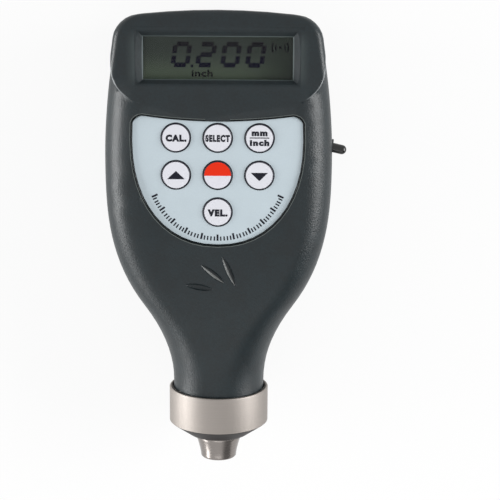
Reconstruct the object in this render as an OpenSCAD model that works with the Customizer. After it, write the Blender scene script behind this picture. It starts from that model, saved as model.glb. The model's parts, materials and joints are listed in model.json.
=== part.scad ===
// Hand-held ultrasonic thickness gauge lying on its back, in millimetres.
// The origin is the centre of the probe's contact face, +Y runs up to the display end
// and +Z points out of the front face.

/* [Housing] */
// Width across the belly of the housing
body_w = 68.5; // [66:0.5:74]
// Length from the probe's contact face to the top end
body_len = 142.2; // [140:0.2:150]
// Height of the front face above the probe axis
front_h = 15.5; // [15:0.1:17]
// Depth of the flat back below the probe axis
back_h = 16.5; // [16.2:0.1:18]
// Width across the top end, before its corners are rounded
head_w = 60.1; // [59:0.5:66]
// Slope of the sides where they reach the top end
head_slope = -0.12; // [-0.2:0.01:0]
// How far the widest section lies below the top end
belly_drop = 45.6; // [44:0.2:50]
// How far the shoulders' steepest place lies below the top end
shoulder_drop = 91.7; // [90:0.1:93]
// Width at the shoulders' steepest place
shoulder_w = 45.8; // [43:0.2:47]
// Slope of the shoulders there
shoulder_slope = 0.71; // [0.6:0.01:0.75]
// Diameter of the round neck
neck_d = 28; // [27:0.2:28.6]
// Place where the neck starts to widen
neck_y = 25.2; // [25.2:0.1:27]
// How far above the neck the front face reaches its full height
front_run = 37; // [32:1:40]
// How far the back drops between the neck and the battery door
back_drop = 0.4; // [0:0.1:0.6]
// Wall of the mouldings
wall = 2.2; // [1.8:0.1:2.6]
// Rounding of the flanks towards the front
flank_r = 10; // [8:0.5:12]
// How far the flanks' rounding takes to ease off above the neck
edge_run = 55; // [50:1:60]
// Rounding of the flanks towards the back
back_r = 8; // [7:0.5:9.5]
// Rounding of the head block's front edge
head_r = 2.4; // [1.6:0.2:3.4]
// Rounding of the two top corners
corner_r = 6; // [4:0.5:8]
// Rounding of the top end towards the front and the back
end_r = 3; // [2:0.5:4]
// How far the top edge bows up over its ends
top_bow = 2.2; // [1:0.2:3]
// Slope at which the top end leans towards the back
end_lean = 0.16; // [0.1:0.01:0.2]
// How far the head block stands out from the flanks
head_proud = 0.12; // [0.06:0.02:0.2]
// How far the head block stands above the front face below it
head_step = 0.02; // [0.02:0.01:0.1]
// How far the head block's front face reaches down from the top end
head_drop = 27.2; // [26:0.2:29]
// Radius of the head block's lower corners
head_corner = 10.6; // [9:0.2:12]
// Half width of the head block where its lower corners start
head_half = 31.6; // [31:0.1:32.4]
// Chamfer that both halves have at their parting line
seam = 0.3; // [0.1:0.05:0.5]

/* [Flutes] */
// Point across the housing from which the flutes fan out
fan_x = 6.5; // [5.5:0.5:8]
// How far that point lies below the top end
fan_drop = 85.1; // [84.3:0.1:86]
// Direction of the first and longest flute
flute_angle = 113.5; // [110:0.5:118]
// Angle between two flutes
flute_turn = 28.5; // [25:0.5:30]
// Distance of the first flute from the fan's point
flute_start = 2.4; // [2:0.1:3]
// How much further out each next flute starts
flute_start_step = 2.7; // [2.4:0.05:3]
// Length of the first flute
flute_len = 10.3; // [8:0.1:12]
// How much shorter each next flute is
flute_len_step = 0.8; // [0.5:0.05:1.5]
// Number of flutes
flute_count = 3; // [2:1:3]
// Width of a flute at its middle
flute_w = 2; // [1.4:0.1:2.4]
// Depth of a flute at its middle
flute_depth = 0.8; // [0.4:0.05:1]

/* [Display] */
// Width of the visible display
view_w = 44; // [42:0.2:45]
// Height of the visible display
view_h = 12.5; // [11:0.1:13.5]
// Width of the bevelled recess at the front face
bezel_w = 49.2; // [47:0.2:50]
// Height of the bevelled recess at the front face
bezel_h = 17.8; // [17:0.2:19]
// How far the recess goes in below the front face
bezel_depth = 2.4; // [2.3:0.1:4]
// How far the display's middle lies below the top end
view_drop = 14; // [13.5:0.1:15]
// How far the recess's middle lies above the display's middle
bezel_rise = 0.5; // [0:0.1:1.2]
// How far the recess's sides bulge at the front face
bezel_bulge = 1.2; // [0.5:0.1:2.2]
// Share of the recess's walls that is rounded out into the front face
bezel_flare = 0.35; // [0.1:0.05:0.4]
// Thickness of the clear window
window_t = 1.4; // [1:0.1:1.6]
// Thickness of the display cell
cell_glass_t = 2.8; // [2.2:0.1:3]
// Rim of the window and of the cell outside the visible display
view_rim = 1.2; // [0.8:0.1:1.3]
// Extra rim above and below the visible display
view_rim_y = 2.2; // [1.6:0.1:2.4]

/* [Keypad] */
// Width of the printed panel
panel_w = 50.6; // [49:0.2:52]
// How far the middle of the panel's top edge lies below the top end
panel_drop = 32.6; // [31.8:0.2:33.6]
// How far the panel's top corners rise above the middle of its top edge
panel_hollow = 1.6; // [0.8:0.1:2.2]
// Height from the panel's lowest point to the middle of its top edge
panel_h = 37.3; // [36:0.1:38.5]
// Height of the panel's straight sides below its top edge
panel_side = 5.8; // [5:0.1:7]
// Rounding of the panel's top corners
panel_r = 3; // [2:0.2:4]
// Squareness of the panel's round lower end
panel_power = 2.2; // [2:0.05:2.5]
// Thickness of the panel
panel_t = 0.5; // [0.4:0.05:0.7]
// How far the panel lies below the front face
panel_sink = 0.6; // [0.3:0.05:0.7]
// Gap around the panel
panel_gap = 0.3; // [0.1:0.05:0.4]
// Diameter of a key
key_d = 8.7; // [8:0.1:9]
// Gap around a key
key_gap = 0.2; // [0.15:0.05:0.5]
// Distance between the key columns
key_pitch_x = 12.4; // [12:0.1:13]
// Distance between the key rows
key_pitch_y = 11.25; // [10.8:0.05:11.6]
// How far the middle row lies below the top end
key_drop = 48.7; // [48.2:0.1:49.2]
// How far a key stands above the panel
key_proud = 0.35; // [0.2:0.05:0.45]
// How far a key goes in
key_travel = 0.5; // [0.3:0.05:0.6]
// Wall under the panel that the keys pass through
deck_t = 1.9; // [1.6:0.1:2.2]
// How far the thickened walls reach past the panel and the window
deck_lip = 1; // [0.6:0.1:1.5]
// Play between that wall and a key's flange
key_play = 0.3; // [0.2:0.05:0.4]
// Thickness of a key's flange behind that wall
key_flange_t = 0.8; // [0.6:0.1:1]
// How far the flange reaches past the key's side
key_flange = 1.0; // [0.8:0.05:1.1]

/* [Probe] */
// Diameter of the steel collar
collar_d = 30.8; // [30.4:0.1:31.8]
// Length of the collar's straight barrel
collar_len = 11.2; // [10.6:0.1:11.6]
// Top of the collar
collar_top = 23.4; // [23:0.1:24.2]
// Height of the cone under the barrel
collar_cone = 4.2; // [3.6:0.1:4.8]
// Diameter of the flat ring under the cone
collar_face_d = 18.8; // [18:0.1:20]
// Depth of the collar's socket for the neck
collar_socket = 5.6; // [5:0.1:6]
// Gap between the neck and its socket
neck_gap = 0.2; // [0.1:0.05:0.25]
// Thickness of the seal ring at the neck's end
seal_t = 1.76; // [1.5:0.02:2]
// Play of the seal ring on either side
seal_play = 0.02; // [0.01:0.01:0.05]
// Diameter of the nose's shank
nose_d = 14.3; // [13.8:0.1:14.8]
// Diameter of the contact face
tip_d = 11; // [10.8:0.1:12]
// Length of the nose's cone
nose_cone = 7; // [6:0.1:7.5]
// How hollow the nose's taper is, where 1 is straight
nose_waist = 1.4; // [1:0.1:1.8]
// Diameter of the nose's shoulder inside the collar
shoulder_d = 17.2; // [16.6:0.1:17.4]
// Height of that shoulder's seat above the floor of the neck's socket
seat_rise = 0.5; // [0.2:0.1:1]
// Thickness of that shoulder
shoulder_t = 2; // [1.6:0.1:2.4]
// Diameter of the collar's threaded spigot
spigot_d = 20.4; // [20.2:0.1:21]
// Wall of the spigot
spigot_wall = 1.4; // [1.2:0.1:1.5]
// How far the spigot reaches up into the housing
spigot_len = 14.5; // [13:0.5:15.5]
// Height of the nut's shelf in the neck above the collar
shelf_rise = 0.9; // [0.6:0.1:1.2]
// Thickness of the clamp nut
nut_t = 4; // [3:0.2:4.4]
// Radial width of the clamp nut
nut_ring = 1.3; // [1.1:0.1:1.35]
// Diameter of the two delay lines together
delay_d = 9.3; // [8.6:0.1:9.6]
// Length of the delay lines
delay_len = 11; // [9:0.5:12]
// Thickness of the sound barrier
barrier_t = 0.5; // [0.3:0.05:0.8]
// Thickness of the crystals
crystal_t = 0.5; // [0.4:0.05:0.8]
// Length of the backing block
backing_len = 10; // [8:0.5:10.5]
// Diameter of the backing block
backing_d = 12.2; // [11.6:0.1:12.4]
// Diameter of a probe lead
lead_d = 1.4; // [1:0.1:1.6]
// Width between the middles of the two probe leads
leads_w = 5; // [4:0.5:6]
// General gap of a slide fit
slide_gap = 0.1; // [0.05:0.05:0.15]

/* [Side socket] */
// How far the socket lies below the top end
socket_drop = 42.8; // [41:0.2:44]
// Lean of the socket towards the probe
socket_lean = 13; // [0:1:16]
// Outside diameter of the socket's bush
socket_d = 5; // [4.6:0.1:5.4]
// How far the bush stands out of the flank
socket_proud = 0.1; // [0.1:0.1:1.2]
// Length of the bush
socket_len = 9; // [8:0.5:9.5]
// Diameter of the plug
plug_d = 2.9; // [2.6:0.1:3]
// Gap around the plug
plug_gap = 0.3; // [0.25:0.05:0.4]
// How far the plug stands out of the bush
plug_proud = 4.5; // [3:0.1:5]
// Length of the plug inside the bush
plug_depth = 5; // [4:0.5:6]

/* [Battery] */
// Diameter of a cell
cell_d = 10.5; // [10.2:0.1:10.6]
// Length of a cell
cell_len = 44.5; // [43.5:0.5:45]
// Number of cells
cell_count = 4; // [3:1:4]
// Gap between the cells
cell_gap = 0.6; // [0.4:0.1:0.7]
// Length of a contact spring
spring_len = 4.5; // [4:0.5:5]
// Thickness of a contact plate
contact_t = 0.4; // [0.3:0.1:0.6]
// How far the battery well's lower end lies below the top end
well_drop = 75.8; // [75.2:0.2:76.2]
// Room above the cells
cell_headroom = 0.5; // [0.3:0.1:0.8]
// Room beside the outer cells
cell_side = 0.75; // [0.5:0.05:1]
// Wall of the battery well
well_wall = 1.2; // [1:0.1:1.4]
// Thickness of the ledge behind the door
ledge_t = 1.2; // [1:0.1:1.4]
// Width of the battery door
door_w = 40.4; // [39.4:0.2:41]
// Length of the battery door
door_len = 48; // [46:0.5:49]
// How far the battery door's lower end lies below the top end
door_drop = 78.2; // [77.6:0.2:79.2]
// How far below the door's lower end the back starts to step out
step_before = 3; // [2:0.5:4]
// How far above the door's lower end the back has stepped out
step_after = 4; // [3:0.5:5]
// Thickness of the battery door
door_t = 1.7; // [1.4:0.1:1.7]
// How far the door lies below the flat back
door_sink = 0.1; // [0.05:0.05:0.2]
// Gap around the battery door
door_gap = 0.3; // [0.2:0.05:0.4]
// Width of the door's side tongues
tongue_w = 1; // [0.8:0.1:1.2]
// Thickness of the door's side tongues
tongue_t = 0.8; // [0.6:0.1:0.8]
// Length of the door's side tongues
tongue_len = 26; // [22:1:28]
// How far the tongues stop short of the door's upper end
tongue_drop = 8; // [7:0.5:10]
// Width of the door's longest grip groove
grip_w = 16; // [12:1:20]
// Distance between the grip grooves
grip_pitch = 2; // [1.6:0.1:2.4]
// Depth of the grip grooves
grip_depth = 0.5; // [0.3:0.1:0.8]
// Number of grip grooves
grip_count = 5; // [3:1:6]
// How far the door rests on the ledge at its sides and ends
door_rest = 1; // [0.8:0.1:1.4]
// How far the door slides
door_travel = 36; // [30:1:36]

/* [Board and screws] */
// Height of the board's upper face above the probe axis
board_z = 4; // [3.8:0.1:4.2]
// Thickness of the board
board_t = 1.6; // [1.2:0.1:1.6]
// Width of the board
board_w = 47.2; // [46:0.2:47.6]
// How far the board's lower end lies below the top end
board_foot_drop = 78.2; // [77.2:0.2:79.2]
// How far the board's upper end lies below the top end
board_drop = 5.6; // [5.4:0.1:6.4]
// Distance of the housing screws from the middle, at the head
head_screw_x = 26.9; // [26.6:0.1:27]
// How far the head's housing screws lie below the top end
head_screw_drop = 14.2; // [13:0.2:16]
// Distance of the housing screws from the middle, at the shoulders
low_screw_x = 14.5; // [13:0.5:15]
// How far the shoulder screws lie below the top end
low_screw_drop = 87.2; // [86.2:0.2:88.2]
// Shank diameter of a housing screw
screw_d = 2.5; // [2.2:0.1:2.6]
// Head diameter of a housing screw
screw_head_d = 4.6; // [4.2:0.1:4.8]
// Head height of a housing screw
screw_head_t = 1.6; // [1.4:0.1:2]
// Length of a housing screw under its head
screw_len = 15; // [13:0.5:16]
// Depth of the counterbore for a housing screw
screw_sink = 7; // [6:0.5:8]
// Diameter of the screw posts
post_d = 5.6; // [5.4:0.1:5.8]
// Diameter of the board's posts
board_post_d = 4.4; // [4:0.1:4.8]
// Distance of the board screws from the middle
board_screw_x = 19.6; // [19:0.2:20]
// How far the lower board screws lie below the top end
board_screw_low_drop = 73.2; // [72.2:0.2:74.2]
// How far the upper board screws lie below the top end
board_screw_high_drop = 29; // [28.6:0.1:29.7]
// Shank diameter of a board screw
board_screw_d = 2; // [1.8:0.1:2.2]
// Length of a board screw under its head
board_screw_len = 6.5; // [5:0.5:7]
// Gap of a screw in its hole
screw_gap = 0.05; // [0.03:0.01:0.1]
// Height of a key switch's body
switch_t = 3.5; // [3:0.1:4]
// Width of a key switch
switch_w = 6; // [5.6:0.1:6.4]
// Diameter of a key switch's plunger
plunger_d = 3.5; // [3:0.1:3.6]
// Gap between a pressed key and its plunger
plunger_gap = 0.3; // [0.2:0.05:0.4]
// Diameter of the buzzer
buzzer_d = 9; // [8:0.2:9.4]
// Height of the buzzer
buzzer_t = 3.2; // [2.8:0.1:3.6]
// Width of the processor chip
chip_w = 12; // [10:0.5:14]
// Thickness of the processor chip
chip_t = 1.5; // [1.2:0.1:1.8]
// Length of the clock crystal
clock_len = 10; // [9:0.5:11]
// Width of the clock crystal
clock_w = 4; // [3.6:0.1:4.4]
// Height of the clock crystal
clock_t = 2.4; // [2:0.1:2.5]
// Diameter of the supply capacitor
capacitor_d = 2.4; // [2:0.1:2.5]
// Length of the supply capacitor
capacitor_len = 8; // [6:0.5:9]
// Width of the pulse transformer
transformer_w = 8; // [7:0.5:9]
// Height of the pulse transformer
transformer_t = 2.4; // [2:0.1:2.5]
// Distance between the parts under the board
parts_gap = 3; // [2:0.5:4]
// Wall of the display carrier
carrier_wall = 1.6; // [1.2:0.1:2]
// Width of the rubber contact strip
strip_w = 2; // [1.6:0.1:2.4]
// Gap either side of the rubber contact strip
strip_gap = 0.2; // [0.1:0.05:0.3]

/* [Drawing] */
// Sections along the housing
stations = 40; // [24:1:48]
// Spans across the front face
face_spans = 6; // [2:2:8]
// Steps round a rounded edge
edge_steps = 8; // [6:1:10]
// Steps round the top end
end_steps = 6; // [4:1:8]
// Spans across the bowed top end
end_spans = 6; // [4:2:8]
// Steps along a bulging side of the display recess
side_steps = 8; // [4:2:12]

/* [Hidden] */
eps = 0.05;
over = 1;
far = 40;
belly_y = body_len - belly_drop;
shoulder_y = body_len - shoulder_drop;
head_y = body_len - head_drop;
fan_y = body_len - fan_drop;
panel_top = body_len - panel_drop;
key_y = body_len - key_drop;
socket_y = body_len - socket_drop;
well_y = body_len - well_drop;
door_y = body_len - door_drop;
board_y = body_len - board_foot_drop;
low_screw_y = body_len - low_screw_drop;
board_screw_low = body_len - board_screw_low_drop;
board_screw_high = body_len - board_screw_high_drop;
socket_floor = collar_top - collar_socket;
neck_end = socket_floor + seal_t + 2 * seal_play;
collar_base = collar_top - collar_len;
collar_face = collar_base - collar_cone;
bore_d = nose_d + 2 * slide_gap;
spigot_bore = spigot_d - 2 * spigot_wall;
shoulder_base = socket_floor + seat_rise;
shelf_d = spigot_d + 2 * slide_gap;
shelf_top = collar_top + shelf_rise;
backing_y = delay_len + crystal_t;
nose_top = backing_y + backing_len;
delay_bore = delay_d + 2 * slide_gap;
body_front = front_h - head_step;
view_y = body_len - view_drop;
recess_n = side_steps + 1;
bezel_y = view_y + bezel_rise;
bezel_floor = front_h - bezel_depth;
bezel_wall = 0.8;
window_z = bezel_floor - window_t;
glass_w = view_w + 2 * view_rim;
glass_y0 = view_y - view_h / 2 - view_rim_y;
glass_y1 = view_y + view_h / 2 + view_rim_y;
glass_z = window_z - slide_gap - cell_glass_t;
panel_z = front_h - panel_sink - panel_t;
deck_z = panel_z - deck_t;
flange_z = deck_z - key_play - key_flange_t;
plunger_z = flange_z - key_travel - plunger_gap;
door_z = -back_h + door_sink;
ledge_z = door_z + door_t + door_sink;
well_z = ledge_z + ledge_t;
well_top = well_z + cell_d + cell_headroom;
well_w = cell_count * cell_d + (cell_count - 1) * cell_gap + 2 * cell_side;
well_len = contact_t + cell_len + spring_len + contact_t + 4 * slide_gap;
cell_y = well_y + contact_t + spring_len + 2 * slide_gap;
cell_z = well_z + slide_gap + cell_d / 2;
step_y0 = door_y - step_before;
step_y1 = door_y + step_after;
board_low = board_z - board_t;
board_end = body_len - board_drop;
screw_seat = -back_h + screw_sink;
head_screw_y = body_len - head_screw_drop;
strip_y = glass_y0 + strip_gap + strip_w / 2;
flank_x = half_w(socket_y);
buzzer_y = board_screw_low + buzzer_d / 4;

$fn = 64;

// Cubic from a to b over one span, with the slopes sa and sb at its ends
function cubic(y, y0, y1, a, b, sa, sb) =
    let (h = y1 - y0, t = (y - y0) / h)
    a * (2 * t * t * t - 3 * t * t + 1) + b * (3 * t * t - 2 * t * t * t)
    + h * (sa * (t * t * t - 2 * t * t + t) + sb * (t * t * t - t * t));

// Smooth step from a to b between y0 and y1
function ramp(y, y0, y1, a, b) = cubic(min(max(y, y0), y1), y0, y1, a, b, 0, 0);

// Half width of the housing at one place along it
function half_w(y) =
    y <= neck_y ? neck_d / 2
    : y <= shoulder_y ? cubic(y, neck_y, shoulder_y, neck_d / 2, shoulder_w / 2, 0, shoulder_slope)
    : y <= belly_y ? cubic(y, shoulder_y, belly_y, shoulder_w / 2, body_w / 2, shoulder_slope, 0)
    : cubic(min(y, body_len), belly_y, body_len, body_w / 2, head_w / 2, 0, head_slope);

// Height of the front face, and depth of the back, at one place along the housing
function front_z(y) = ramp(y, neck_y, neck_y + front_run, neck_d / 2, body_front);
function back_z(y) =
    ramp(y, step_y0, step_y1, ramp(y, neck_y, step_y0, neck_d / 2, neck_d / 2 + back_drop), back_h);

// Rounding of the edges at one place along the housing
function edge_r(y, r) = min(ramp(y, neck_y, neck_y + edge_run, neck_d / 2 - seam, r), half_w(y) - seam);

// How far a point of the top end drops below its middle
function bow(x, y) = top_bow * pow(2 * x / head_w, 2) * ramp(y, head_y, body_len, 0, 1);

// How far a point of the top end falls back below the front rounding
function lean(z, y) = end_lean * max(0, front_h - end_r - z) * ramp(y, head_y, body_len, 0, 1);

// Places along the housing as [y, side inset, face inset], with a rounded end where round is over 0
function places(y0, y1, n, round, face) = concat(
    [for (i = [0 : n]) [y0 + (y1 - round - y0) * i / n, 0, 0]],
    round <= 0 ? [] : [
        for (k = [1 : end_steps])
        let (a = 90 * k / end_steps)
        [y1 - round + round * sin(a), round * (1 - cos(a)), face * (1 - cos(a))]
    ]
);

// Quarter round of a section's edge, with side 1 for the right and -1 for the left
function edge_point(w, h, r, k, side) =
    let (a = 90 * k / edge_steps)
    [side * (w - r + r * cos(a)), h - r + r * sin(a)];

// Half of a section above the parting plane: right foot and edge, top, left edge, and back along the foot
function half_section(w, h, r, foot, inset, spans) = concat(
    [[w - inset, foot], [w, foot + inset]],
    [for (k = [0 : edge_steps]) edge_point(w, h, r, k, 1)],
    spans < 2 ? [] : [for (k = [1 : spans - 1]) [(w - r) * (1 - 2 * k / spans), h]],
    [for (k = [edge_steps : -1 : 0]) edge_point(w, h, r, k, -1)],
    [[-w, foot + inset], [-w + inset, foot]],
    [for (k = [spans : -1 : 0]) [(w - r) * (1 - 2 * k / spans), foot]]
);

// Faces that close the end of a half section: a fan under each edge and strips between top and foot
function half_cap(spans) =
    let (edge = edge_steps + 3, n = 2 * edge + 2 * spans)
    concat(
        [for (j = [0 : edge - 2]) [n - 1, j, j + 1]],
        [for (k = [0 : spans - 1])
            let (top = edge - 1 + k, foot = n - 1 - k)
            each [[top, top + 1, foot - 1], [top, foot - 1, foot]]],
        [for (j = [edge - 1 + spans : 2 * edge + spans - 3]) [j, j + 1, 2 * edge + spans - 1]]
    );

// Solid through sections, closed at both ends by the same cap of triangles
module loft(rows, cap) {
    n = len(rows[0]);
    end = (len(rows) - 1) * n;
    points = [for (row = rows) for (p = row) p];
    sides = [
        for (i = [0 : len(rows) - 2])
        for (j = [0 : n - 1])
        let (a = i * n + j, b = i * n + (j + 1) % n)
        each [[a, b, b + n], [a, b + n, a + n]]
    ];
    first = [for (f = cap) [f[2], f[1], f[0]]];
    last = [for (f = cap) [for (j = f) end + j]];
    polyhedron(points = points, faces = concat(sides, first, last), convexity = 6);
}

// Rows of the housing's front half, inset by skin
function front_rows(steps, skin, foot, inset, spans) = [
    for (s = steps)
    let (y = s[0], w = half_w(y) - skin - s[1], h = front_z(y) - skin - s[2])
    let (r = min(edge_r(y, flank_r) - skin, w - eps, h - foot - inset - eps))
    [for (p = half_section(w, h, r, foot, inset, spans))
        [p[0], y - bow(p[0], y) - lean(p[1], y), p[1]]]
];

// Rows of the housing's back half, inset by skin
function back_rows(steps, skin, foot, inset, spans) = [
    for (s = steps)
    let (y = s[0], w = half_w(y) - skin - s[1], h = back_z(y) - skin - s[2])
    let (r = min(edge_r(y, back_r) - skin, w - eps, h - foot - inset - eps))
    [for (p = half_section(w, h, r, foot, inset, spans))
        [-p[0], y - bow(p[0], y) - lean(-p[1], y), -p[1]]]
];

// Rows of the head block with its small edge rounding
function head_rows(steps) = [
    for (s = steps)
    let (y = s[0], w = half_w(y) + head_proud - s[1], h = front_h - s[2])
    [for (p = half_section(w, h, head_r, 0, seam, end_spans))
        [p[0], y - bow(p[0], y) - lean(p[1], y), p[1]]]
];

// Right side of the display recess's outline, from its foot up, with its bulge
function recess_side(w, h, bulge) = [
    for (k = [0 : side_steps])
    let (t = 2 * k / side_steps - 1)
    [w / 2 + bulge * (1 - t * t), h / 2 * t]
];

// Outline of the display recess at a share of its depth, from the visible display up to the front face
function recess(share) =
    let (grow = (1 - bezel_flare) * share + bezel_flare * pow(share, 12))
    let (w = view_w + grow * (bezel_w - view_w), h = view_h + grow * (bezel_h - view_h))
    let (side = recess_side(w, h, grow * bezel_bulge), y = view_y + grow * bezel_rise)
    let (z = bezel_floor + share * bezel_depth)
    concat(
        [for (p = side) [p[0], y - p[1], z]],
        [for (k = [side_steps : -1 : 0]) [-side[k][0], y - side[k][1], z]]
    );

// Round part about the probe's axis, from a profile of [radius, place along Y]
module about_probe() rotate([-90, 0, 0]) rotate_extrude($fn = 96) children();

// Round bar along Y between two places
module bar_y(d, y0, y1) translate([0, y0, 0]) rotate([-90, 0, 0]) cylinder(d = d, h = y1 - y0, $fn = 64);

// Round post between two heights
module post(x, y, d, z0, z1) translate([x, y, z0]) cylinder(d = d, h = z1 - z0, $fn = 48);

// Box about a middle in X, from y0 to y1 and z0 to z1
module block(x, w, y0, y1, z0, z1) translate([x - w / 2, y0, z0]) cube([w, y1 - y0, z1 - z0]);

// Children along the side socket's axis, from the flank outwards
module on_socket() {
    translate([flank_x, socket_y, 0]) rotate([0, 0, -socket_lean]) rotate([0, 90, 0]) children();
}

// Places of the screws and of the keys
head_screws = [[-head_screw_x, head_screw_y], [head_screw_x, head_screw_y]];
low_screws = [[-low_screw_x, low_screw_y], [low_screw_x, low_screw_y]];
shell_screw_places = concat(head_screws, low_screws);
board_screw_places = [
    for (x = [-board_screw_x, board_screw_x])
    for (y = [board_screw_low, board_screw_high])
    [x, y]
];
key_places = concat(
    [for (row = [1, 0]) for (column = [-1 : 1]) [column * key_pitch_x, key_y + row * key_pitch_y]],
    [[0, key_y - key_pitch_y]]
);

// Outline of the keypad panel, grown by gap
module panel_outline(gap) {
    a = panel_w / 2 + gap;
    b = panel_h - panel_side + gap;
    mid = panel_top - panel_side;
    r = panel_r + gap;
    steps = 24;
    rim = panel_top + panel_hollow + gap;
    polygon(concat(
        [for (k = [0 : steps])
            let (t = 180 + 180 * k / steps)
            [a * sign(cos(t)) * pow(abs(cos(t)), 2 / panel_power),
                mid - b * pow(abs(sin(t)), 2 / panel_power)]],
        [for (k = [1 : 5]) [a - r + r * cos(18 * k), rim - r + r * sin(18 * k)]],
        [for (k = [1 : 11])
            let (x = (a - r) * (1 - k / 6))
            [x, rim - panel_hollow * (1 - pow(x / (a - r), 2))]],
        [for (k = [0 : 4]) [-a + r - r * sin(18 * k), rim - r + r * cos(18 * k)]]
    ));
}

// Region of the front face that the head block covers
module head_region() {
    cx = head_half - head_corner;
    cy = head_y + head_corner;
    steps = 10;
    translate([0, 0, -over]) linear_extrude(height = far) polygon(concat(
        [[-head_half, body_len + far], [-head_half, cy]],
        [for (k = [1 : steps])
            let (a = 90 * k / steps)
            [-cx - head_corner * cos(a), cy - head_corner * sin(a)]],
        [for (k = [0 : steps])
            let (a = 90 * k / steps)
            [cx + head_corner * sin(a), cy - head_corner * cos(a)]],
        [[head_half, body_len + far]]
    ));
}

// Pointed spindle that cuts the flute of one number in the fan
module flute(number) {
    run = flute_len - number * flute_len_step;
    reach = flute_start + number * flute_start_step + run / 2;
    turn = flute_angle + number * flute_turn;
    y = fan_y + reach * sin(turn);
    r = (flute_w * flute_w / 4 + flute_depth * flute_depth) / (2 * flute_depth);
    spindle = run / sqrt(flute_depth / r);
    big = (spindle * spindle / 4 + r * r) / (2 * r);
    swing = asin(spindle / 2 / big);
    steps = 6;
    translate([fan_x + reach * cos(turn), y, front_z(y) - flute_depth + r])
        rotate([0, 0, turn]) rotate([0, 90, 0])
        rotate_extrude($fn = 32) polygon([
            for (k = [-steps : steps])
            [max(0, big * cos(swing * k / steps) - big + r), big * sin(swing * k / steps)]
        ]);
}

// Places along the hollow of both halves
hollow_places = places(neck_end - over, body_len - wall, stations, corner_r - wall, end_r - wall / 2);

module front_outside() {
    body = places(neck_end, head_y + head_corner + corner_r, stations, 0, 0);
    head = places(head_y - over, body_len + head_proud, stations / 4, corner_r, end_r);
    union() {
        loft(front_rows(body, 0, 0, seam, face_spans), half_cap(face_spans));
        intersection() {
            loft(head_rows(head), half_cap(end_spans));
            head_region();
        }
    }
}

// What stays solid inside the front half
module front_inside() {
    frame_end = bezel_y + bezel_h / 2 + deck_lip;
    block(0, bezel_w + 2 * bezel_bulge + 2 * deck_lip, glass_y0 - deck_lip, frame_end, bezel_floor, far);
    translate([0, 0, deck_z]) linear_extrude(height = far) panel_outline(deck_lip);
    for (p = shell_screw_places) post(p[0], p[1], post_d, 0, far);
    for (p = board_screw_places) post(p[0], p[1], board_post_d, board_z, far);
    bar_y(2 * neck_d, neck_end - 2 * over, shelf_top);
}

module front_shell() {
    color([0.22, 0.24, 0.24])
    difference() {
        front_outside();
        difference() {
            loft(front_rows(hollow_places, wall, -over, seam, 1), half_cap(1));
            front_inside();
        }
        bar_y(shelf_d, neck_end - 2 * over, shelf_top + over);
        loft(concat(
            [[for (p = recess(0)) p - [0, 0, eps]]],
            [for (share = [bezel_wall, (1 + 3 * bezel_wall) / 4, (3 + bezel_wall) / 4, 1]) recess(share)],
            [[for (p = recess(1)) p + [0, 0, over]]]
        ), [for (j = [0 : recess_n - 2])
            each [[j, j + 1, 2 * recess_n - 2 - j], [j, 2 * recess_n - 2 - j, 2 * recess_n - 1 - j]]]);
        translate([0, 0, panel_z]) linear_extrude(height = far) panel_outline(panel_gap);
        for (p = key_places) post(p[0], p[1], key_d + 2 * key_gap, deck_z - over, far);
        for (p = shell_screw_places)
            post(p[0], p[1], screw_d + 2 * screw_gap, -over, screw_seat + screw_len + over);
        for (p = board_screw_places)
            post(p[0], p[1], board_screw_d + 2 * screw_gap, 0, board_low + board_screw_len + over);
        on_socket() translate([0, 0, -far / 2]) cylinder(d = socket_d + 2 * screw_gap, h = far);
        for (k = [0 : flute_count - 1]) flute(k);
    }
}

// What stays solid inside the back half
module rear_inside() {
    well_end = well_y + well_len + well_wall;
    block(0, well_w + 2 * well_wall, well_y - well_wall, well_end, -far, well_top + well_wall);
    for (p = shell_screw_places) post(p[0], p[1], post_d, -far, 0);
    bar_y(2 * neck_d, neck_end - 2 * over, shelf_top);
}

module rear_shell() {
    outside = places(neck_end, body_len, stations, corner_r, end_r);
    rail_y = door_y + door_len - tongue_drop - tongue_len - door_travel - over;
    color([0.2, 0.22, 0.22])
    difference() {
        loft(back_rows(outside, 0, 0, seam, end_spans), half_cap(end_spans));
        difference() {
            loft(back_rows(hollow_places, wall, -over, seam, 1), half_cap(1));
            rear_inside();
        }
        bar_y(shelf_d, neck_end - 2 * over, shelf_top + over);
        block(0, well_w, well_y, well_y + well_len, well_z, well_top);
        block(0, door_w - 2 * door_rest, well_y, door_y + door_len - door_rest, -far, well_z + over);
        block(0, door_w + 2 * door_gap, rail_y, door_y + door_len + door_gap, -far, ledge_z);
        block(0, door_w + 2 * tongue_w + 2 * door_gap, rail_y, door_y + door_len - tongue_drop + door_gap,
            ledge_z - tongue_t - 2 * door_gap, ledge_z);
        for (p = shell_screw_places) {
            post(p[0], p[1], screw_d + 4 * screw_gap, -far, over);
            post(p[0], p[1], screw_head_d + 2 * door_gap, -far, screw_seat);
        }
        on_socket() translate([0, 0, -far / 2]) cylinder(d = socket_d + 2 * screw_gap, h = far);
    }
}

module shell_screws() {
    slot = 0.6;
    cross = 0.56 * screw_head_d;
    low = screw_seat - screw_head_t;
    deep = low + 0.44 * screw_head_t;
    color([0.55, 0.55, 0.57])
    for (p = shell_screw_places)
        difference() {
            union() {
                post(p[0], p[1], screw_head_d, low, screw_seat);
                post(p[0], p[1], screw_d, screw_seat - eps, screw_seat + screw_len);
            }
            block(p[0], cross, p[1] - slot / 2, p[1] + slot / 2, low - over, deep);
            block(p[0], slot, p[1] - cross / 2, p[1] + cross / 2, low - over, deep);
        }
}

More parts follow.
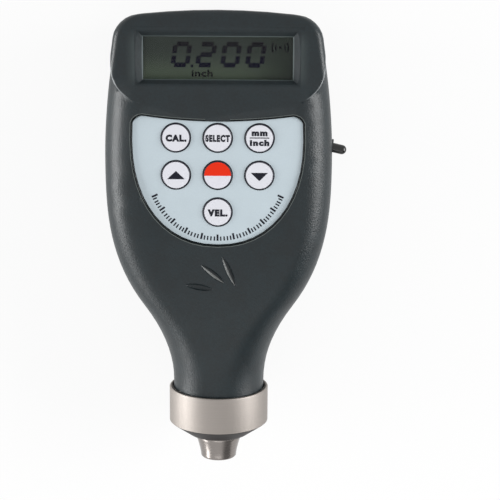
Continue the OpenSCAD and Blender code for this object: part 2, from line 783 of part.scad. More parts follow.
module battery_door() {
    color([0.2, 0.22, 0.22])
    difference() {
        union() {
            block(0, door_w, door_y, door_y + door_len, door_z, door_z + door_t);
            block(0, door_w + 2 * tongue_w, door_y + door_len - tongue_drop - tongue_len,
                door_y + door_len - tongue_drop, door_z + door_t - tongue_t, door_z + door_t);
        }
        for (k = [0 : grip_count - 1])
            let (y = door_y + (k + 3) * grip_pitch)
            block(0, grip_w - k * grip_pitch, y, y + grip_pitch / 2, -far, door_z + grip_depth);
    }
}

module lcd_window() {
    color([0.8, 0.85, 0.85, 0.4])
    block(0, glass_w, glass_y0, glass_y1, window_z, bezel_floor - eps);
}

module lcd_cell() {
    color([0.33, 0.36, 0.28])
    block(0, glass_w, glass_y0, glass_y1, glass_z, glass_z + cell_glass_t);
}

module lcd_carrier() {
    y0 = strip_y + strip_w / 2 + strip_gap;
    color([0.85, 0.85, 0.83])
    difference() {
        block(0, glass_w, y0, glass_y1, board_z, glass_z);
        block(0, glass_w - 2 * carrier_wall, y0 + carrier_wall, glass_y1 - carrier_wall,
            board_z + carrier_wall, far);
    }
}

module contact_strip() {
    color([0.9, 0.45, 0.55])
    block(0, view_w, strip_y - strip_w / 2, strip_y + strip_w / 2, board_z, glass_z);
}

module keypad_panel() {
    color([0.77, 0.82, 0.85])
    difference() {
        translate([0, 0, panel_z]) linear_extrude(height = panel_t) panel_outline(0);
        for (p = key_places) post(p[0], p[1], key_d + 2 * key_gap, panel_z - over, far);
    }
}

// Key cap with a softened rim and a flange that stays behind the deck
module key(place) {
    r = key_d / 2;
    top = panel_z + panel_t + key_proud;
    soft = 0.3;
    translate([key_places[place][0], key_places[place][1], 0])
        rotate_extrude($fn = 64) polygon([
            [0, flange_z], [r + key_flange, flange_z], [r + key_flange, flange_z + key_flange_t],
            [r, flange_z + key_flange_t], [r, top - soft], [r - soft, top], [0, top]
        ]);
}

module key_cal() color([0.91, 0.9, 0.93]) key(0);

module key_select() color([0.91, 0.9, 0.93]) key(1);

module key_unit() color([0.91, 0.9, 0.93]) key(2);

module key_up() color([0.91, 0.9, 0.93]) key(3);

module key_power() color([0.9, 0.24, 0.12]) key(4);

module key_down() color([0.91, 0.9, 0.93]) key(5);

module key_vel() color([0.91, 0.9, 0.93]) key(6);

module main_board() {
    color([0.1, 0.4, 0.2])
    difference() {
        block(0, board_w, board_y, board_end, board_low, board_z);
        for (p = board_screw_places)
            post(p[0], p[1], board_screw_d + 4 * screw_gap, board_low - over, board_z + over);
    }
}

module board_screws() {
    color([0.75, 0.75, 0.77])
    for (p = board_screw_places) {
        post(p[0], p[1], 2 * board_screw_d, board_low - 0.7 * board_screw_d, board_low);
        post(p[0], p[1], board_screw_d, board_low - eps, board_low + board_screw_len);
    }
}

module key_switches() {
    color([0.15, 0.15, 0.16])
    for (p = key_places) {
        block(p[0], switch_w, p[1] - switch_w / 2, p[1] + switch_w / 2, board_z, board_z + switch_t);
        post(p[0], p[1], plunger_d, board_z + switch_t - eps, plunger_z);
    }
}

module buzzer() {
    hole_d = buzzer_d / 4;
    color([0.12, 0.12, 0.13])
    difference() {
        post(0, buzzer_y, buzzer_d, board_z, board_z + buzzer_t);
        post(0, buzzer_y, hole_d, board_z + buzzer_t / 2, far);
    }
}

module processor_chip() {
    color([0.1, 0.1, 0.11])
    block(0, chip_w, key_y, key_y + chip_w, board_low - chip_t, board_low);
}

module clock_crystal() {
    x = (chip_w + clock_len) / 2 + parts_gap;
    color([0.7, 0.7, 0.72])
    block(x, clock_len, key_y, key_y + clock_w, board_low - clock_t, board_low);
}

module supply_capacitor() {
    color([0.75, 0.6, 0.15])
    translate([-chip_w / 2 - parts_gap, key_y + capacitor_d, board_low - capacitor_d / 2])
        rotate([0, -90, 0]) cylinder(d = capacitor_d, h = capacitor_len, $fn = 32);
}

module pulse_transformer() {
    y = board_y + parts_gap;
    color([0.2, 0.2, 0.18])
    block(0, transformer_w, y, y + transformer_w, board_low - transformer_t, board_low);
}

module data_socket() {
    color([0.5, 0.5, 0.48])
    on_socket() translate([0, 0, socket_proud - socket_len])
        difference() {
            cylinder(d = socket_d, h = socket_len);
            translate([0, 0, socket_len - plug_depth - plug_gap])
                cylinder(d = plug_d + 2 * plug_gap, h = far);
        }
}

module socket_plug() {
    r = plug_d / 2;
    reach = socket_proud + plug_proud;
    dome = 0.95 * r;
    color([0.08, 0.08, 0.09])
    on_socket() rotate_extrude($fn = 48) polygon(concat(
        [[0, socket_proud - plug_depth], [r, socket_proud - plug_depth]],
        [for (k = [0 : 5]) [r * cos(15 * k), reach - dome + dome * sin(15 * k)]],
        [[0, reach]]
    ));
}

// Places of the cells across the well
cell_places = [for (i = [0 : cell_count - 1]) (i - (cell_count - 1) / 2) * (cell_d + cell_gap)];

module battery_cells() {
    cap = 1.2;
    cap_d = 3.8;
    color([0.75, 0.62, 0.2])
    for (i = [0 : cell_count - 1])
        translate([cell_places[i], cell_y + cell_len / 2, cell_z])
            rotate([i % 2 == 0 ? -90 : 90, 0, 0]) {
                translate([0, 0, -cell_len / 2]) cylinder(d = cell_d, h = cell_len - cap);
                translate([0, 0, cell_len / 2 - cap - eps]) cylinder(d = cap_d, h = cap + eps);
            }
}

module battery_springs() {
    wide = 0.7 * cell_d;
    narrow = 0.4 * cell_d;
    color([0.7, 0.7, 0.72])
    for (x = cell_places)
        translate([x, well_y + contact_t + slide_gap, cell_z])
            rotate([-90, 0, 0]) cylinder(d1 = wide, d2 = narrow, h = spring_len);
}

module battery_contacts() {
    plate = 0.8 * cell_d;
    color([0.75, 0.75, 0.77])
    for (x = cell_places)
        for (y = [well_y, well_y + well_len - contact_t])
            block(x, plate, y, y + contact_t, cell_z - plate / 2, cell_z + plate / 2);
}

module probe_collar() {
    soft = 0.35;
    color([0.62, 0.6, 0.57])
    about_probe() polygon([
        [bore_d / 2, collar_face], [collar_face_d / 2, collar_face],
        [collar_d / 2 - soft, collar_base - 0.6 * soft], [collar_d / 2, collar_base + 0.4 * soft],
        [collar_d / 2, collar_top - soft], [collar_d / 2 - soft, collar_top],
        [neck_d / 2 + neck_gap, collar_top], [neck_d / 2 + neck_gap, socket_floor],
        [spigot_d / 2, socket_floor], [spigot_d / 2, socket_floor + spigot_len],
        [spigot_bore / 2, socket_floor + spigot_len], [spigot_bore / 2, shoulder_base],
        [bore_d / 2, shoulder_base]
    ]);
}

module neck_seal() {
    color([0.06, 0.06, 0.06])
    about_probe()
        translate([(neck_d + shelf_d) / 4, socket_floor + seal_t / 2 + seal_play])
        circle(d = seal_t, $fn = 32);
}

module probe_nose() {
    soft = 0.3;
    steps = 5;
    color([0.66, 0.65, 0.63])
    about_probe() polygon(concat(
        [[delay_bore / 2, 0], [tip_d / 2 - soft, 0]],
        [for (k = [0 : steps])
            let (t = k / steps)
            [tip_d / 2 + (nose_d - tip_d) / 2 * pow(t, nose_waist), soft + (nose_cone - soft) * t]],
        [[nose_d / 2, shoulder_base], [shoulder_d / 2, shoulder_base],
            [shoulder_d / 2, shoulder_base + shoulder_t], [nose_d / 2, shoulder_base + shoulder_t],
            [nose_d / 2, nose_top + over],
            [backing_d / 2 + slide_gap, nose_top + over], [backing_d / 2 + slide_gap, delay_len],
            [delay_bore / 2, delay_len]]
    ));
}

// Half discs either side of the sound barrier
module half_rods(y0, y1) {
    gap = barrier_t / 2 + slide_gap / 2;
    for (side = [-1, 1])
        intersection() {
            bar_y(delay_d, y0, y1);
            block(side * (gap + far / 2), far, y0 - over, y1 + over, -far, far);
        }
}

module delay_lines() color([0.75, 0.7, 0.6]) half_rods(0, delay_len);

module sound_barrier() {
    color([0.45, 0.3, 0.18])
    intersection() {
        bar_y(delay_d, 0, backing_y);
        block(0, barrier_t, -over, backing_y + over, -far, far);
    }
}

module probe_crystals() color([0.8, 0.78, 0.6]) half_rods(delay_len, backing_y);

module backing_block() color([0.25, 0.2, 0.18]) bar_y(backing_d, backing_y, nose_top);

module clamp_nut() {
    r = spigot_d / 2 + slide_gap;
    color([0.7, 0.62, 0.4])
    about_probe() translate([r, shelf_top]) square([nut_ring, nut_t]);
}

module probe_leads() {
    color([0.7, 0.1, 0.1])
    for (x = [-leads_w / 2, leads_w / 2])
        translate([x, 0, board_z - board_t / 2]) bar_y(lead_d, nose_top, board_y);
}

front_shell();
rear_shell();
shell_screws();
battery_door();
lcd_window();
lcd_cell();
lcd_carrier();
contact_strip();
keypad_panel();
key_cal();
key_select();
key_unit();
key_up();
key_power();
key_down();
key_vel();
main_board();
board_screws();
key_switches();
buzzer();
processor_chip();
clock_crystal();
supply_capacitor();
pulse_transformer();
data_socket();
socket_plug();
battery_cells();
battery_springs();
battery_contacts();
probe_collar();
neck_seal();
probe_nose();
delay_lines();
sound_barrier();
probe_crystals();
backing_block();
clamp_nut();
probe_leads();
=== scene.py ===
"""Looks of a hand-held ultrasonic thickness gauge that lies on its back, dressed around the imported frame."""

import json
import logging
import math
from dataclasses import dataclass, replace
from enum import Enum
from typing import Any, ClassVar, Dict, List, Optional, Sequence, Tuple, Union

import bmesh
import bpy
from mathutils import Matrix, Vector
from mathutils.bvhtree import BVHTree


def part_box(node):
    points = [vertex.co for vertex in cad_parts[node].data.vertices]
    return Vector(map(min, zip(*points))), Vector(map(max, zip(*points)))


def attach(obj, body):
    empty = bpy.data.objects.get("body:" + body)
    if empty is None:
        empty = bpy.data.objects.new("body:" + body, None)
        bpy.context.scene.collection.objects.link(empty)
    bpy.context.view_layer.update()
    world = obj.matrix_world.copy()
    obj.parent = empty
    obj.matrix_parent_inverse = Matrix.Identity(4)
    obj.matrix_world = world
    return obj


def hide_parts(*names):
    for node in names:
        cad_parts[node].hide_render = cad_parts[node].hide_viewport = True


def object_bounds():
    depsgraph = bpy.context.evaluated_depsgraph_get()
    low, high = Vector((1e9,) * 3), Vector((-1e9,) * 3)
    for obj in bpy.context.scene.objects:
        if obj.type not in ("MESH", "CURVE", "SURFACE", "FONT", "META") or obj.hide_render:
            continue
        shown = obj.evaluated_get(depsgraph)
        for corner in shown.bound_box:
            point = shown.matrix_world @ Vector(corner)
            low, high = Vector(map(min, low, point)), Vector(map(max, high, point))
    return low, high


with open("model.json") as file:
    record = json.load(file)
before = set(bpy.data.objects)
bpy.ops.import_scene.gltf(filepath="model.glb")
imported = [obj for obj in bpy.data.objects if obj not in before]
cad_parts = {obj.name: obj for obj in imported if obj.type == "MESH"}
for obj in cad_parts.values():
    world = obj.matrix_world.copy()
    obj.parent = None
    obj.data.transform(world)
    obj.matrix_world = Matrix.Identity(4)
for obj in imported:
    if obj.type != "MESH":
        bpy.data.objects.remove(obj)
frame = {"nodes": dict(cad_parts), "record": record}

LOG = logging.getLogger("gauge")
CAD_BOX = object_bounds()
MM = 0.001
ROOT = "gauge"
MERGE = 2e-6  # Vertices of a CAD node that are closer than this, in metres, are one.
LEVEL = 1e-5  # Heights that are closer than this, in metres, are the same.
UPRIGHT = 0.1  # A face whose normal rises by less than this stands upright.
SINK = 0.005  # Depth in millimetres by which a print's lower face lies under the surface.
Colour = Tuple[float, float, float]
Point = Tuple[float, float]
Band = Tuple[float, float]
Box = Tuple[Tuple[float, float, float], Tuple[float, float, float]]
Value = Union["Wire", float]


def srgb(red: int, green: int, blue: int) -> Colour:
    """Turns a display colour of 0 to 255 into linear light."""
    parts = [part / 255 for part in (red, green, blue)]
    return tuple(part / 12.92 if part <= 0.04045 else ((part + 0.055) / 1.055) ** 2.4 for part in parts)


class Wire:
    """Output socket of a tree that is used as a value in an expression."""

    def __init__(self, tree: "Tree", socket: bpy.types.NodeSocket) -> None:
        """Keeps the tree and the socket."""
        self.tree = tree
        self.socket = socket

    def _math(self, operation: str, first: Value, second: Value = 0.0) -> "Wire":
        """Adds one Math node."""
        return self.tree.node("ShaderNodeMath", {"operation": operation}, {0: first, 1: second})

    def __add__(self, other: Value) -> "Wire":
        """Adds a value."""
        return self._math("ADD", self, other)

    def __radd__(self, other: Value) -> "Wire":
        """Adds to a value."""
        return self._math("ADD", other, self)

    def __sub__(self, other: Value) -> "Wire":
        """Takes a value away."""
        return self._math("SUBTRACT", self, other)

    def __rsub__(self, other: Value) -> "Wire":
        """Takes from a value."""
        return self._math("SUBTRACT", other, self)

    def __mul__(self, other: Value) -> "Wire":
        """Multiplies by a value."""
        return self._math("MULTIPLY", self, other)

    def __rmul__(self, other: Value) -> "Wire":
        """Multiplies a value."""
        return self._math("MULTIPLY", other, self)

    def __pow__(self, other: Value) -> "Wire":
        """Raises to a power."""
        return self._math("POWER", self, other)

    def above(self, edge: Value) -> "Wire":
        """Gives 1 where the value is over an edge."""
        return self._math("GREATER_THAN", self, edge)

    def size(self) -> "Wire":
        """Drops the sign."""
        return self._math("ABSOLUTE", self)

    def most(self, other: Value) -> "Wire":
        """Takes the larger value."""
        return self._math("MAXIMUM", self, other)

    def rise(self, low: float, high: float) -> "Wire":
        """Eases from 0 at the low value to 1 at the high one."""
        settings = {"interpolation_type": "SMOOTHSTEP"}
        return self.tree.node("ShaderNodeMapRange", settings, {0: self, 1: low, 2: high, 3: 0.0, 4: 1.0})


class Tree:
    """Node tree of a material or of the world, with a single way to add a node.

    Attributes:
        layering: Strength of each finer layer of a noise.
    """

    layering: ClassVar[float] = 0.55

    def __init__(self, owner: Union[bpy.types.Material, bpy.types.World]) -> None:
        """Clears the owner's tree.

        Args:
            owner: Material or world that has the tree.
        """
        owner.use_nodes = True
        self.owner = owner
        self.tree = owner.node_tree
        self.tree.nodes.clear()

    def node(self, kind: str, settings: Optional[Dict[str, Any]] = None,
             sockets: Optional[Dict[Union[int, str], Any]] = None, output: Union[int, str] = 0) -> Wire:
        """Adds one node.

        Args:
            kind: Type of the node.
            settings: Settings of the node, set before its sockets.
            sockets: Values or wires of the node's inputs.
            output: Output that the wire stands for.

        Returns:
            The wire of that output.
        """
        made = self.tree.nodes.new(kind)
        for name, value in (settings or {}).items():
            setattr(made, name, value)
        for name, value in (sockets or {}).items():
            if isinstance(value, Wire):
                self.tree.links.new(value.socket, made.inputs[name])
            else:
                made.inputs[name].default_value = value
        return Wire(self, made.outputs[output] if len(made.outputs) else None)

    def place(self) -> Wire:
        """Gives the point on the piece, in metres."""
        return self.node("ShaderNodeTexCoord", output="Object")

    def axes(self, centre: Sequence[float] = (0.0, 0.0, 0.0)) -> Tuple[Wire, Wire, Wire]:
        """Gives the point's three parts, in millimetres from a centre.

        Args:
            centre: Centre in millimetres.

        Returns:
            The wires of X, Y and Z.
        """
        parts = self.node("ShaderNodeSeparateXYZ", sockets={0: self.place()})
        outputs = parts.socket.node.outputs
        return tuple(Wire(self, outputs[k]) * (1 / MM) - centre[k] for k in range(3))

    def noise(self, size: float, detail: float = 2.0) -> Wire:
        """Gives a noise about 0.5 whose grains have a size in millimetres and a number of finer layers."""
        return self.node("ShaderNodeTexNoise", sockets={
            "Vector": self.place(), "Scale": 1 / (size * MM), "Detail": detail, "Roughness": self.layering})

    def blend(self, share: Value, first: Union[Wire, Colour], second: Union[Wire, Colour]) -> Wire:
        """Mixes two colours by the share of the second."""
        ends = [end if isinstance(end, Wire) else (*end, 1.0) for end in (first, second)]
        return self.node("ShaderNodeMix", {"data_type": "RGBA"}, {0: share, 6: ends[0], 7: ends[1]}, 2)

    def relief(self, height: Wire, depth: float) -> Wire:
        """Turns a height of 0 to 1 into a bumped normal, with the depth in millimetres."""
        return self.node("ShaderNodeBump", sockets={
            "Height": height, "Distance": depth * MM, "Strength": 1.0})

    def finish(self, sockets: Dict[str, Any]) -> bpy.types.Material:
        """Ends the tree in one Principled surface.

        Args:
            sockets: Values or wires of the surface.

        Returns:
            The finished material.
        """
        surface = self.node("ShaderNodeBsdfPrincipled", sockets=sockets)
        self.node("ShaderNodeOutputMaterial", sockets={"Surface": surface})
        return self.owner


@dataclass(frozen=True)
class Finish:
    """Finish with a colour, a gloss and a fine grain.

    Attributes:
        colour: Linear colour.
        rough: Roughness.
        grain: Size of the surface's grains in millimetres.
        depth: Depth of the grains in millimetres.
        mottle: How much the colour varies.
        specular: Specular level.
        metallic: Metallic share.
        cloud: Size of the colour's slow variation in millimetres.
        speckle: Size of its fine variation, as a multiple of the grain.
        smear: Size of the gloss's variation in millimetres.
        spread: How much the roughness varies.
        contrast: Part of a noise's range that a colour's variation uses.
    """

    colour: Colour
    rough: float = 0.5
    grain: float = 0.4
    depth: float = 0.01
    mottle: float = 0.08
    specular: float = 0.5
    metallic: float = 0.0
    cloud: ClassVar[float] = 6.0
    speckle: ClassVar[float] = 1.7
    smear: ClassVar[float] = 4.0
    spread: ClassVar[float] = 0.12
    contrast: ClassVar[Band] = (0.3, 0.7)

    def paint(self, tree: Tree) -> Wire:
        """Gives the colour with its slow and fine variation.

        Args:
            tree: Tree of the material.

        Returns:
            The wire of the colour.
        """
        slow = tree.noise(self.cloud, detail=3.0)
        fine = tree.noise(self.grain * self.speckle)
        dark = tuple(part * (1 - self.mottle) for part in self.colour)
        pale = tuple(part * (1 + self.mottle) for part in self.colour)
        return tree.blend((slow * 0.5 + fine * 0.5).rise(*self.contrast), dark, pale)

    def gloss(self, tree: Tree) -> Wire:
        """Gives the roughness with a slow variation."""
        return tree.noise(self.smear) * self.spread + (self.rough - self.spread / 2)

    def grains(self, tree: Tree) -> Wire:
        """Gives the normal of the fine grain."""
        return tree.relief(tree.noise(self.grain), self.depth)

    def dress(self, name: str) -> bpy.types.Material:
        """Makes the material.

        Args:
            name: Name of the material.

        Returns:
            The finished material.
        """
        tree = Tree(bpy.data.materials.new(name))
        return tree.finish({
            "Base Color": self.paint(tree), "Roughness": self.gloss(tree), "Normal": self.grains(tree),
            "Specular IOR Level": self.specular, "Metallic": self.metallic})


@dataclass(frozen=True)
class FrontMoulding(Finish):
    """Moulded plastic with painted highlights at the lip round the display, beside the recess, along the
    head's lower corners and on two flutes' walls, and duller in the recess.

    Places and sizes are in millimetres. A band gives where a blend starts and where it ends.

    Attributes:
        lip: Colour of the painted highlight on the lip round the display.
        flare: Colour of the painted highlight beside the recess.
        flute_glint: Colour of the painted glint on the flutes' walls.
        corner_glint: Colour of the painted glint along the head's lower corners.
        flutes: Middle across and along, direction in degrees and length of the flutes whose walls get a
            painted glint.
        middle: Middle of the display along the housing.
        floor: Height of the lip's lower edge.
        recess_half: Half width and half length of the recess.
        recess_low: Height over the floor at which the recess starts.
        lip_band: Height over the floor at which the lip's painted highlight ends.
        dull_band: Height over the floor at which the duller finish ends.
        dull: Roughness that the recess has more than the rest.
        flare_band: Distance from the middle over which that painted highlight fades.
        flare_ends: Distance along the housing over which that painted highlight fades.
        corner: Middle across and along and radius of the head's lower corners.
        corner_glint_inset: Distance of the painted glint line's middle from the corner's edge.
        corner_glint_band: Distance from the line's middle over which it fades.
        corner_glint_start: Distance across from the corner's middle at which the line starts.
        corner_glint_end: Distance along from the corner's middle at which it ends.
        corner_glint_height: Height at which it starts.
        wall: Width of the painted glint on a flute's wall.
        wall_foot: Distance from the flute's middle line at which its wall starts.
        wall_top: Distance from the wall's outer edge at which it ends.
    """

    lip: Colour = (0.2, 0.2, 0.2)
    flare: Colour = (0.1, 0.1, 0.1)
    flute_glint: Colour = (0.2, 0.2, 0.2)
    corner_glint: Colour = (0.2, 0.2, 0.2)
    flutes: Tuple[Tuple[float, float, float, float], ...] = ()
    middle: float = 128.2
    floor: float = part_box("lcd_window")[1].z / MM
    recess_half: Point = (25.4, 9.6)
    recess_low: float = -0.2
    lip_band: Band = (0.25, 0.5)
    dull_band: Band = (2.2, 2.6)
    dull: float = 0.28
    flare_band: Band = (24.4, 27.4)
    flare_ends: Band = (4.0, 9.0)
    corner: Tuple[float, float, float] = (21.0, 125.6, 10.6)
    corner_glint_inset: float = 0.08
    corner_glint_band: Band = (0.12, 0.32)
    corner_glint_start: Band = (4.5, 7.5)
    corner_glint_end: Band = (-1.0, 1.5)
    corner_glint_height: Band = (13.0, 13.8)
    wall: float = 0.85
    wall_foot: Band = (0.05, 0.25)
    wall_top: Band = (-0.1, 0.05)

    def recess(self, tree: Tree) -> Tuple[Wire, Wire]:
        """Finds the display's recess.

        Args:
            tree: Tree of the material.

        Returns:
            Where the recess is and the height over its floor.
        """
        across, along, height = tree.axes((0.0, self.middle, self.floor))
        wide, long = self.recess_half
        near = (1 - across.size().above(wide)) * (1 - along.size().above(long))
        return near * height.above(self.recess_low), height

    def beside(self, tree: Tree) -> Wire:
        """Finds the strips at the left and right of the recess, where a highlight is painted.

        Args:
            tree: Tree of the material.

        Returns:
            Where the strips are.
        """
        across, along, _ = tree.axes((0.0, self.middle, 0.0))
        strip = across.size().above(self.flare_band[0]) * (1 - across.size().rise(*self.flare_band))
        return strip * (1 - along.size().rise(*self.flare_ends))

    def corner_glint_line(self, tree: Tree) -> Wire:
        """Finds the thin line along the head's lower corners where a glint is painted.

        Args:
            tree: Tree of the material.

        Returns:
            Where the painted glint is.
        """
        middle, start, radius = self.corner
        across, along, height = tree.axes((0.0, start, 0.0))
        out = across.size() - middle
        below = (0 - along).most(0.0)
        gap = ((out ** 2 + below ** 2) ** 0.5 - (radius - self.corner_glint_inset)).size()
        line = (1 - gap.rise(*self.corner_glint_band)) * out.rise(*self.corner_glint_start)
        return line * (1 - along.rise(*self.corner_glint_end)) * height.rise(*self.corner_glint_height)

    def flute_glint_wall(self, tree: Tree, flute: Tuple[float, float, float, float]) -> Wire:
        """Finds the wall of one flute on which a glint is painted.

        Args:
            tree: Tree of the material.
            flute: Middle across and along, direction in degrees and length of the flute.

        Returns:
            Where the wall is.
        """
        x, y, turn, length = flute
        across, along, _ = tree.axes((x, y, 0.0))
        ahead, aside = math.cos(math.radians(turn)), math.sin(math.radians(turn))
        reach = (across * ahead + along * aside) * (2 / length)
        off = along * ahead - across * aside
        edge = (1 - reach ** 2) * self.wall
        return off.rise(*self.wall_foot) * (1 - (off - edge).rise(*self.wall_top))

    def paint(self, tree: Tree) -> Wire:
        """Gives the moulding's colour with its painted highlights.

        Args:
            tree: Tree of the material.

        Returns:
            The wire of the colour.
        """
        near, height = self.recess(tree)
        # Painted highlight on the strips beside the recess.
        face = tree.blend(self.beside(tree), super().paint(tree), self.flare)
        # Painted highlight on the lip round the display.
        face = tree.blend(near * (1 - height.rise(*self.lip_band)), face, self.lip)
        # Painted glint along the head's lower corners.
        face = tree.blend(self.corner_glint_line(tree), face, self.corner_glint)
        # Painted glint on one wall of each listed flute.
        for flute in self.flutes:
            face = tree.blend(self.flute_glint_wall(tree, flute), face, self.flute_glint)
        return face

    def gloss(self, tree: Tree) -> Wire:
        """Gives the roughness, which is higher in the recess."""
        near, height = self.recess(tree)
        return super().gloss(tree) + near * (1 - height.rise(*self.dull_band)) * self.dull


@dataclass(frozen=True)
class TurnedSteel(Finish):
    """Steel with the fine lines of a lathe about the probe's axis, and a painted dark reflection below a
    height.

    Attributes:
        pitch: Distance between the lines in millimetres.
        cone: Height over the probe's face below which a dark reflection is painted, in millimetres.
        dark: Colour of the painted dark reflection.
        edge: Half width of the change to the painted dark reflection in millimetres.
        spread: How much the roughness changes from line to line.
        layers: Number of finer layers of the lines.
        layering: Strength of each finer layer.
    """

    pitch: float = 0.12
    cone: float = -1.0
    dark: Colour = (0.1, 0.1, 0.1)
    edge: ClassVar[float] = 0.1
    spread: ClassVar[float] = 0.16
    layers: ClassVar[float] = 3.0
    layering: ClassVar[float] = 0.6

    def lines(self, tree: Tree) -> Wire:
        """Gives the lathe's lines as a value about 0.5.

        Args:
            tree: Tree of the material.

        Returns:
            The wire of the lines.
        """
        _, along, _ = tree.axes()
        return tree.node("ShaderNodeTexNoise", {"noise_dimensions": "1D"}, {
            "W": along, "Scale": 1 / self.pitch, "Detail": self.layers, "Roughness": self.layering})

    def paint(self, tree: Tree) -> Wire:
        """Gives the steel's colour, a little darker in some of the lines and with the painted dark reflection
        below the cone's height.

        Args:
            tree: Tree of the material.

        Returns:
            The wire of the colour.
        """
        _, along, _ = tree.axes()
        dull = tuple(part * (1 - self.mottle) for part in self.colour)
        face = tree.blend(self.lines(tree).rise(*self.contrast), dull, self.colour)
        # Below the cone's height the colour is a painted dark reflection.
        return tree.blend(along.rise(self.cone - self.edge, self.cone + self.edge), self.dark, face)

    def gloss(self, tree: Tree) -> Wire:
        """Gives the roughness, which changes from line to line."""
        return self.lines(tree) * self.spread + (self.rough - self.spread / 2)

    def grains(self, tree: Tree) -> Wire:
        """Gives the normal of the lines."""
        return tree.relief(self.lines(tree), self.depth)


@dataclass(frozen=True)
class KeyFilm(Finish):
    """Printed film of a key, with a dark outline and, on one key, a coloured upper half.

    Attributes:
        centre: Centre of the key in millimetres.
        inner: Radius at which the outline starts.
        outline: Colour of the outline.
        upper: Colour of the upper half.
        split: Height of the upper half's lower edge over the centre.
        blur: Half width of the outline's soft inner edge.
    """

    centre: Point = (0.0, 0.0)
    inner: float = 3.97
    outline: Colour = (0.02, 0.02, 0.03)
    upper: Optional[Colour] = None
    split: ClassVar[float] = -0.15
    blur: ClassVar[float] = 0.04

    def paint(self, tree: Tree) -> Wire:
        """Gives the film's colour with its printed halves and outline.

        Args:
            tree: Tree of the material.

        Returns:
            The wire of the colour.
        """
        across, along, _ = tree.axes((*self.centre, 0.0))
        face = super().paint(tree)
        if self.upper is not None:
            face = tree.blend(along.above(self.split), face, self.upper)
        reach = (across ** 2 + along ** 2) ** 0.5
        return tree.blend(reach.rise(self.inner - self.blur, self.inner + self.blur), face, self.outline)


@dataclass(frozen=True)
class DisplayCell(Finish):
    """Reflective display with painted light and shade: dimmer at its top and at its right end.

    Attributes:
        middle: Height of the visible display's middle in millimetres.
        low: Colour at the lower edge, with painted light.
        shade: Colour at the right end, with painted shade.
        upward: Distance along from the middle over which the lower colour fades.
        rightward: Distance across from the middle over which the shade grows.
    """

    middle: float = 128.1
    low: Colour = (0.1, 0.1, 0.05)
    shade: Colour = (0.04, 0.05, 0.04)
    upward: ClassVar[Band] = (-7.0, 3.0)
    rightward: ClassVar[Band] = (4.0, 24.0)

    def paint(self, tree: Tree) -> Wire:
        """Gives the display's colour from the lower edge to the top and the right end.

        Args:
            tree: Tree of the material.

        Returns:
            The wire of the colour.
        """
        across, along, _ = tree.axes((0.0, self.middle, 0.0))
        face = tree.blend(along.rise(*self.upward), self.low, self.colour)
        return tree.blend(across.rise(*self.rightward), face, self.shade)


@dataclass(frozen=True)
class DisplayInk(Finish):
    """Dark segment of the display, bluer towards the lower edge.

    Attributes:
        middle: Height of the digits' middle in millimetres.
        top: Colour at the digits' top.
        upward: Distance along from the middle over which the lower colour fades.
    """

    middle: float = 128.6
    top: Colour = (0.04, 0.035, 0.04)
    upward: ClassVar[Band] = (-2.5, 3.5)

    def paint(self, tree: Tree) -> Wire:
        """Gives the segment's colour along the digit."""
        _, along, _ = tree.axes((0.0, self.middle, 0.0))
        return tree.blend(along.rise(*self.upward), self.colour, self.top)


@dataclass(frozen=True)
class ClearSheet(Finish):
    """Clear window that only shows its gloss.

    Attributes:
        bend: Refractive index that sets how much gloss shows.
        smear: Size of the gloss's variation in millimetres.
        spread: How much the roughness varies.
    """

    bend: ClassVar[float] = 1.2
    smear: ClassVar[float] = 3.0
    spread: ClassVar[float] = 0.04

    def dress(self, name: str) -> bpy.types.Material:
        """Makes the material.

        Args:
            name: Name of the material.

        Returns:
            The finished material.
        """
        tree = Tree(bpy.data.materials.new(name))
        sheen = tree.node("ShaderNodeFresnel", sockets={"IOR": self.bend})
        return tree.finish({
            "Base Color": (*self.colour, 1.0), "Roughness": tree.noise(self.smear) * self.spread + self.rough,
            "Metallic": 1.0, "Alpha": sheen})


INK = Finish(srgb(22, 24, 34), rough=0.5, grain=0.3, depth=0.002, mottle=0.1, specular=0.15)
# Painted shadow in the gap round the keypad panel.
EDGE = Finish(srgb(14, 17, 18), rough=0.6, grain=0.3, depth=0.002, mottle=0.1, specular=0.05)
DIGIT_INK = DisplayInk(srgb(14, 10, 40), rough=0.6, grain=0.2, depth=0.001, specular=0.0,
                       top=srgb(30, 26, 36))
MARK_INK = Finish(srgb(14, 13, 20), rough=0.6, grain=0.2, depth=0.001, specular=0.0)
# Painted highlight on the edge of the panel's pocket.
RIM = Finish(srgb(80, 86, 85), rough=0.4, grain=0.6, depth=0.02, mottle=0.2, specular=0.4)
# Painted highlights: on the lip round the display, beside the recess, on two flutes' walls and along the
# head's lower corners.
HOUSING = FrontMoulding(srgb(12, 24, 28), rough=0.4, grain=0.48, depth=0.08, mottle=0.3, specular=0.4,
                        lip=srgb(80, 90, 90), flare=srgb(42, 51, 52), flute_glint=srgb(128, 130, 129),
                        corner_glint=srgb(126, 130, 132),
                        flutes=((3.49, 64.02, 113.5, 10.3), (-1.26, 63.16, 142.0, 9.5)))
# The collar's cone below 12.15 mm gets a painted dark reflection.
STEEL = TurnedSteel(srgb(150, 144, 139), rough=0.55, depth=0.004, mottle=0.14, metallic=1.0, pitch=0.18,
                    cone=12.15, dark=srgb(54, 52, 52))
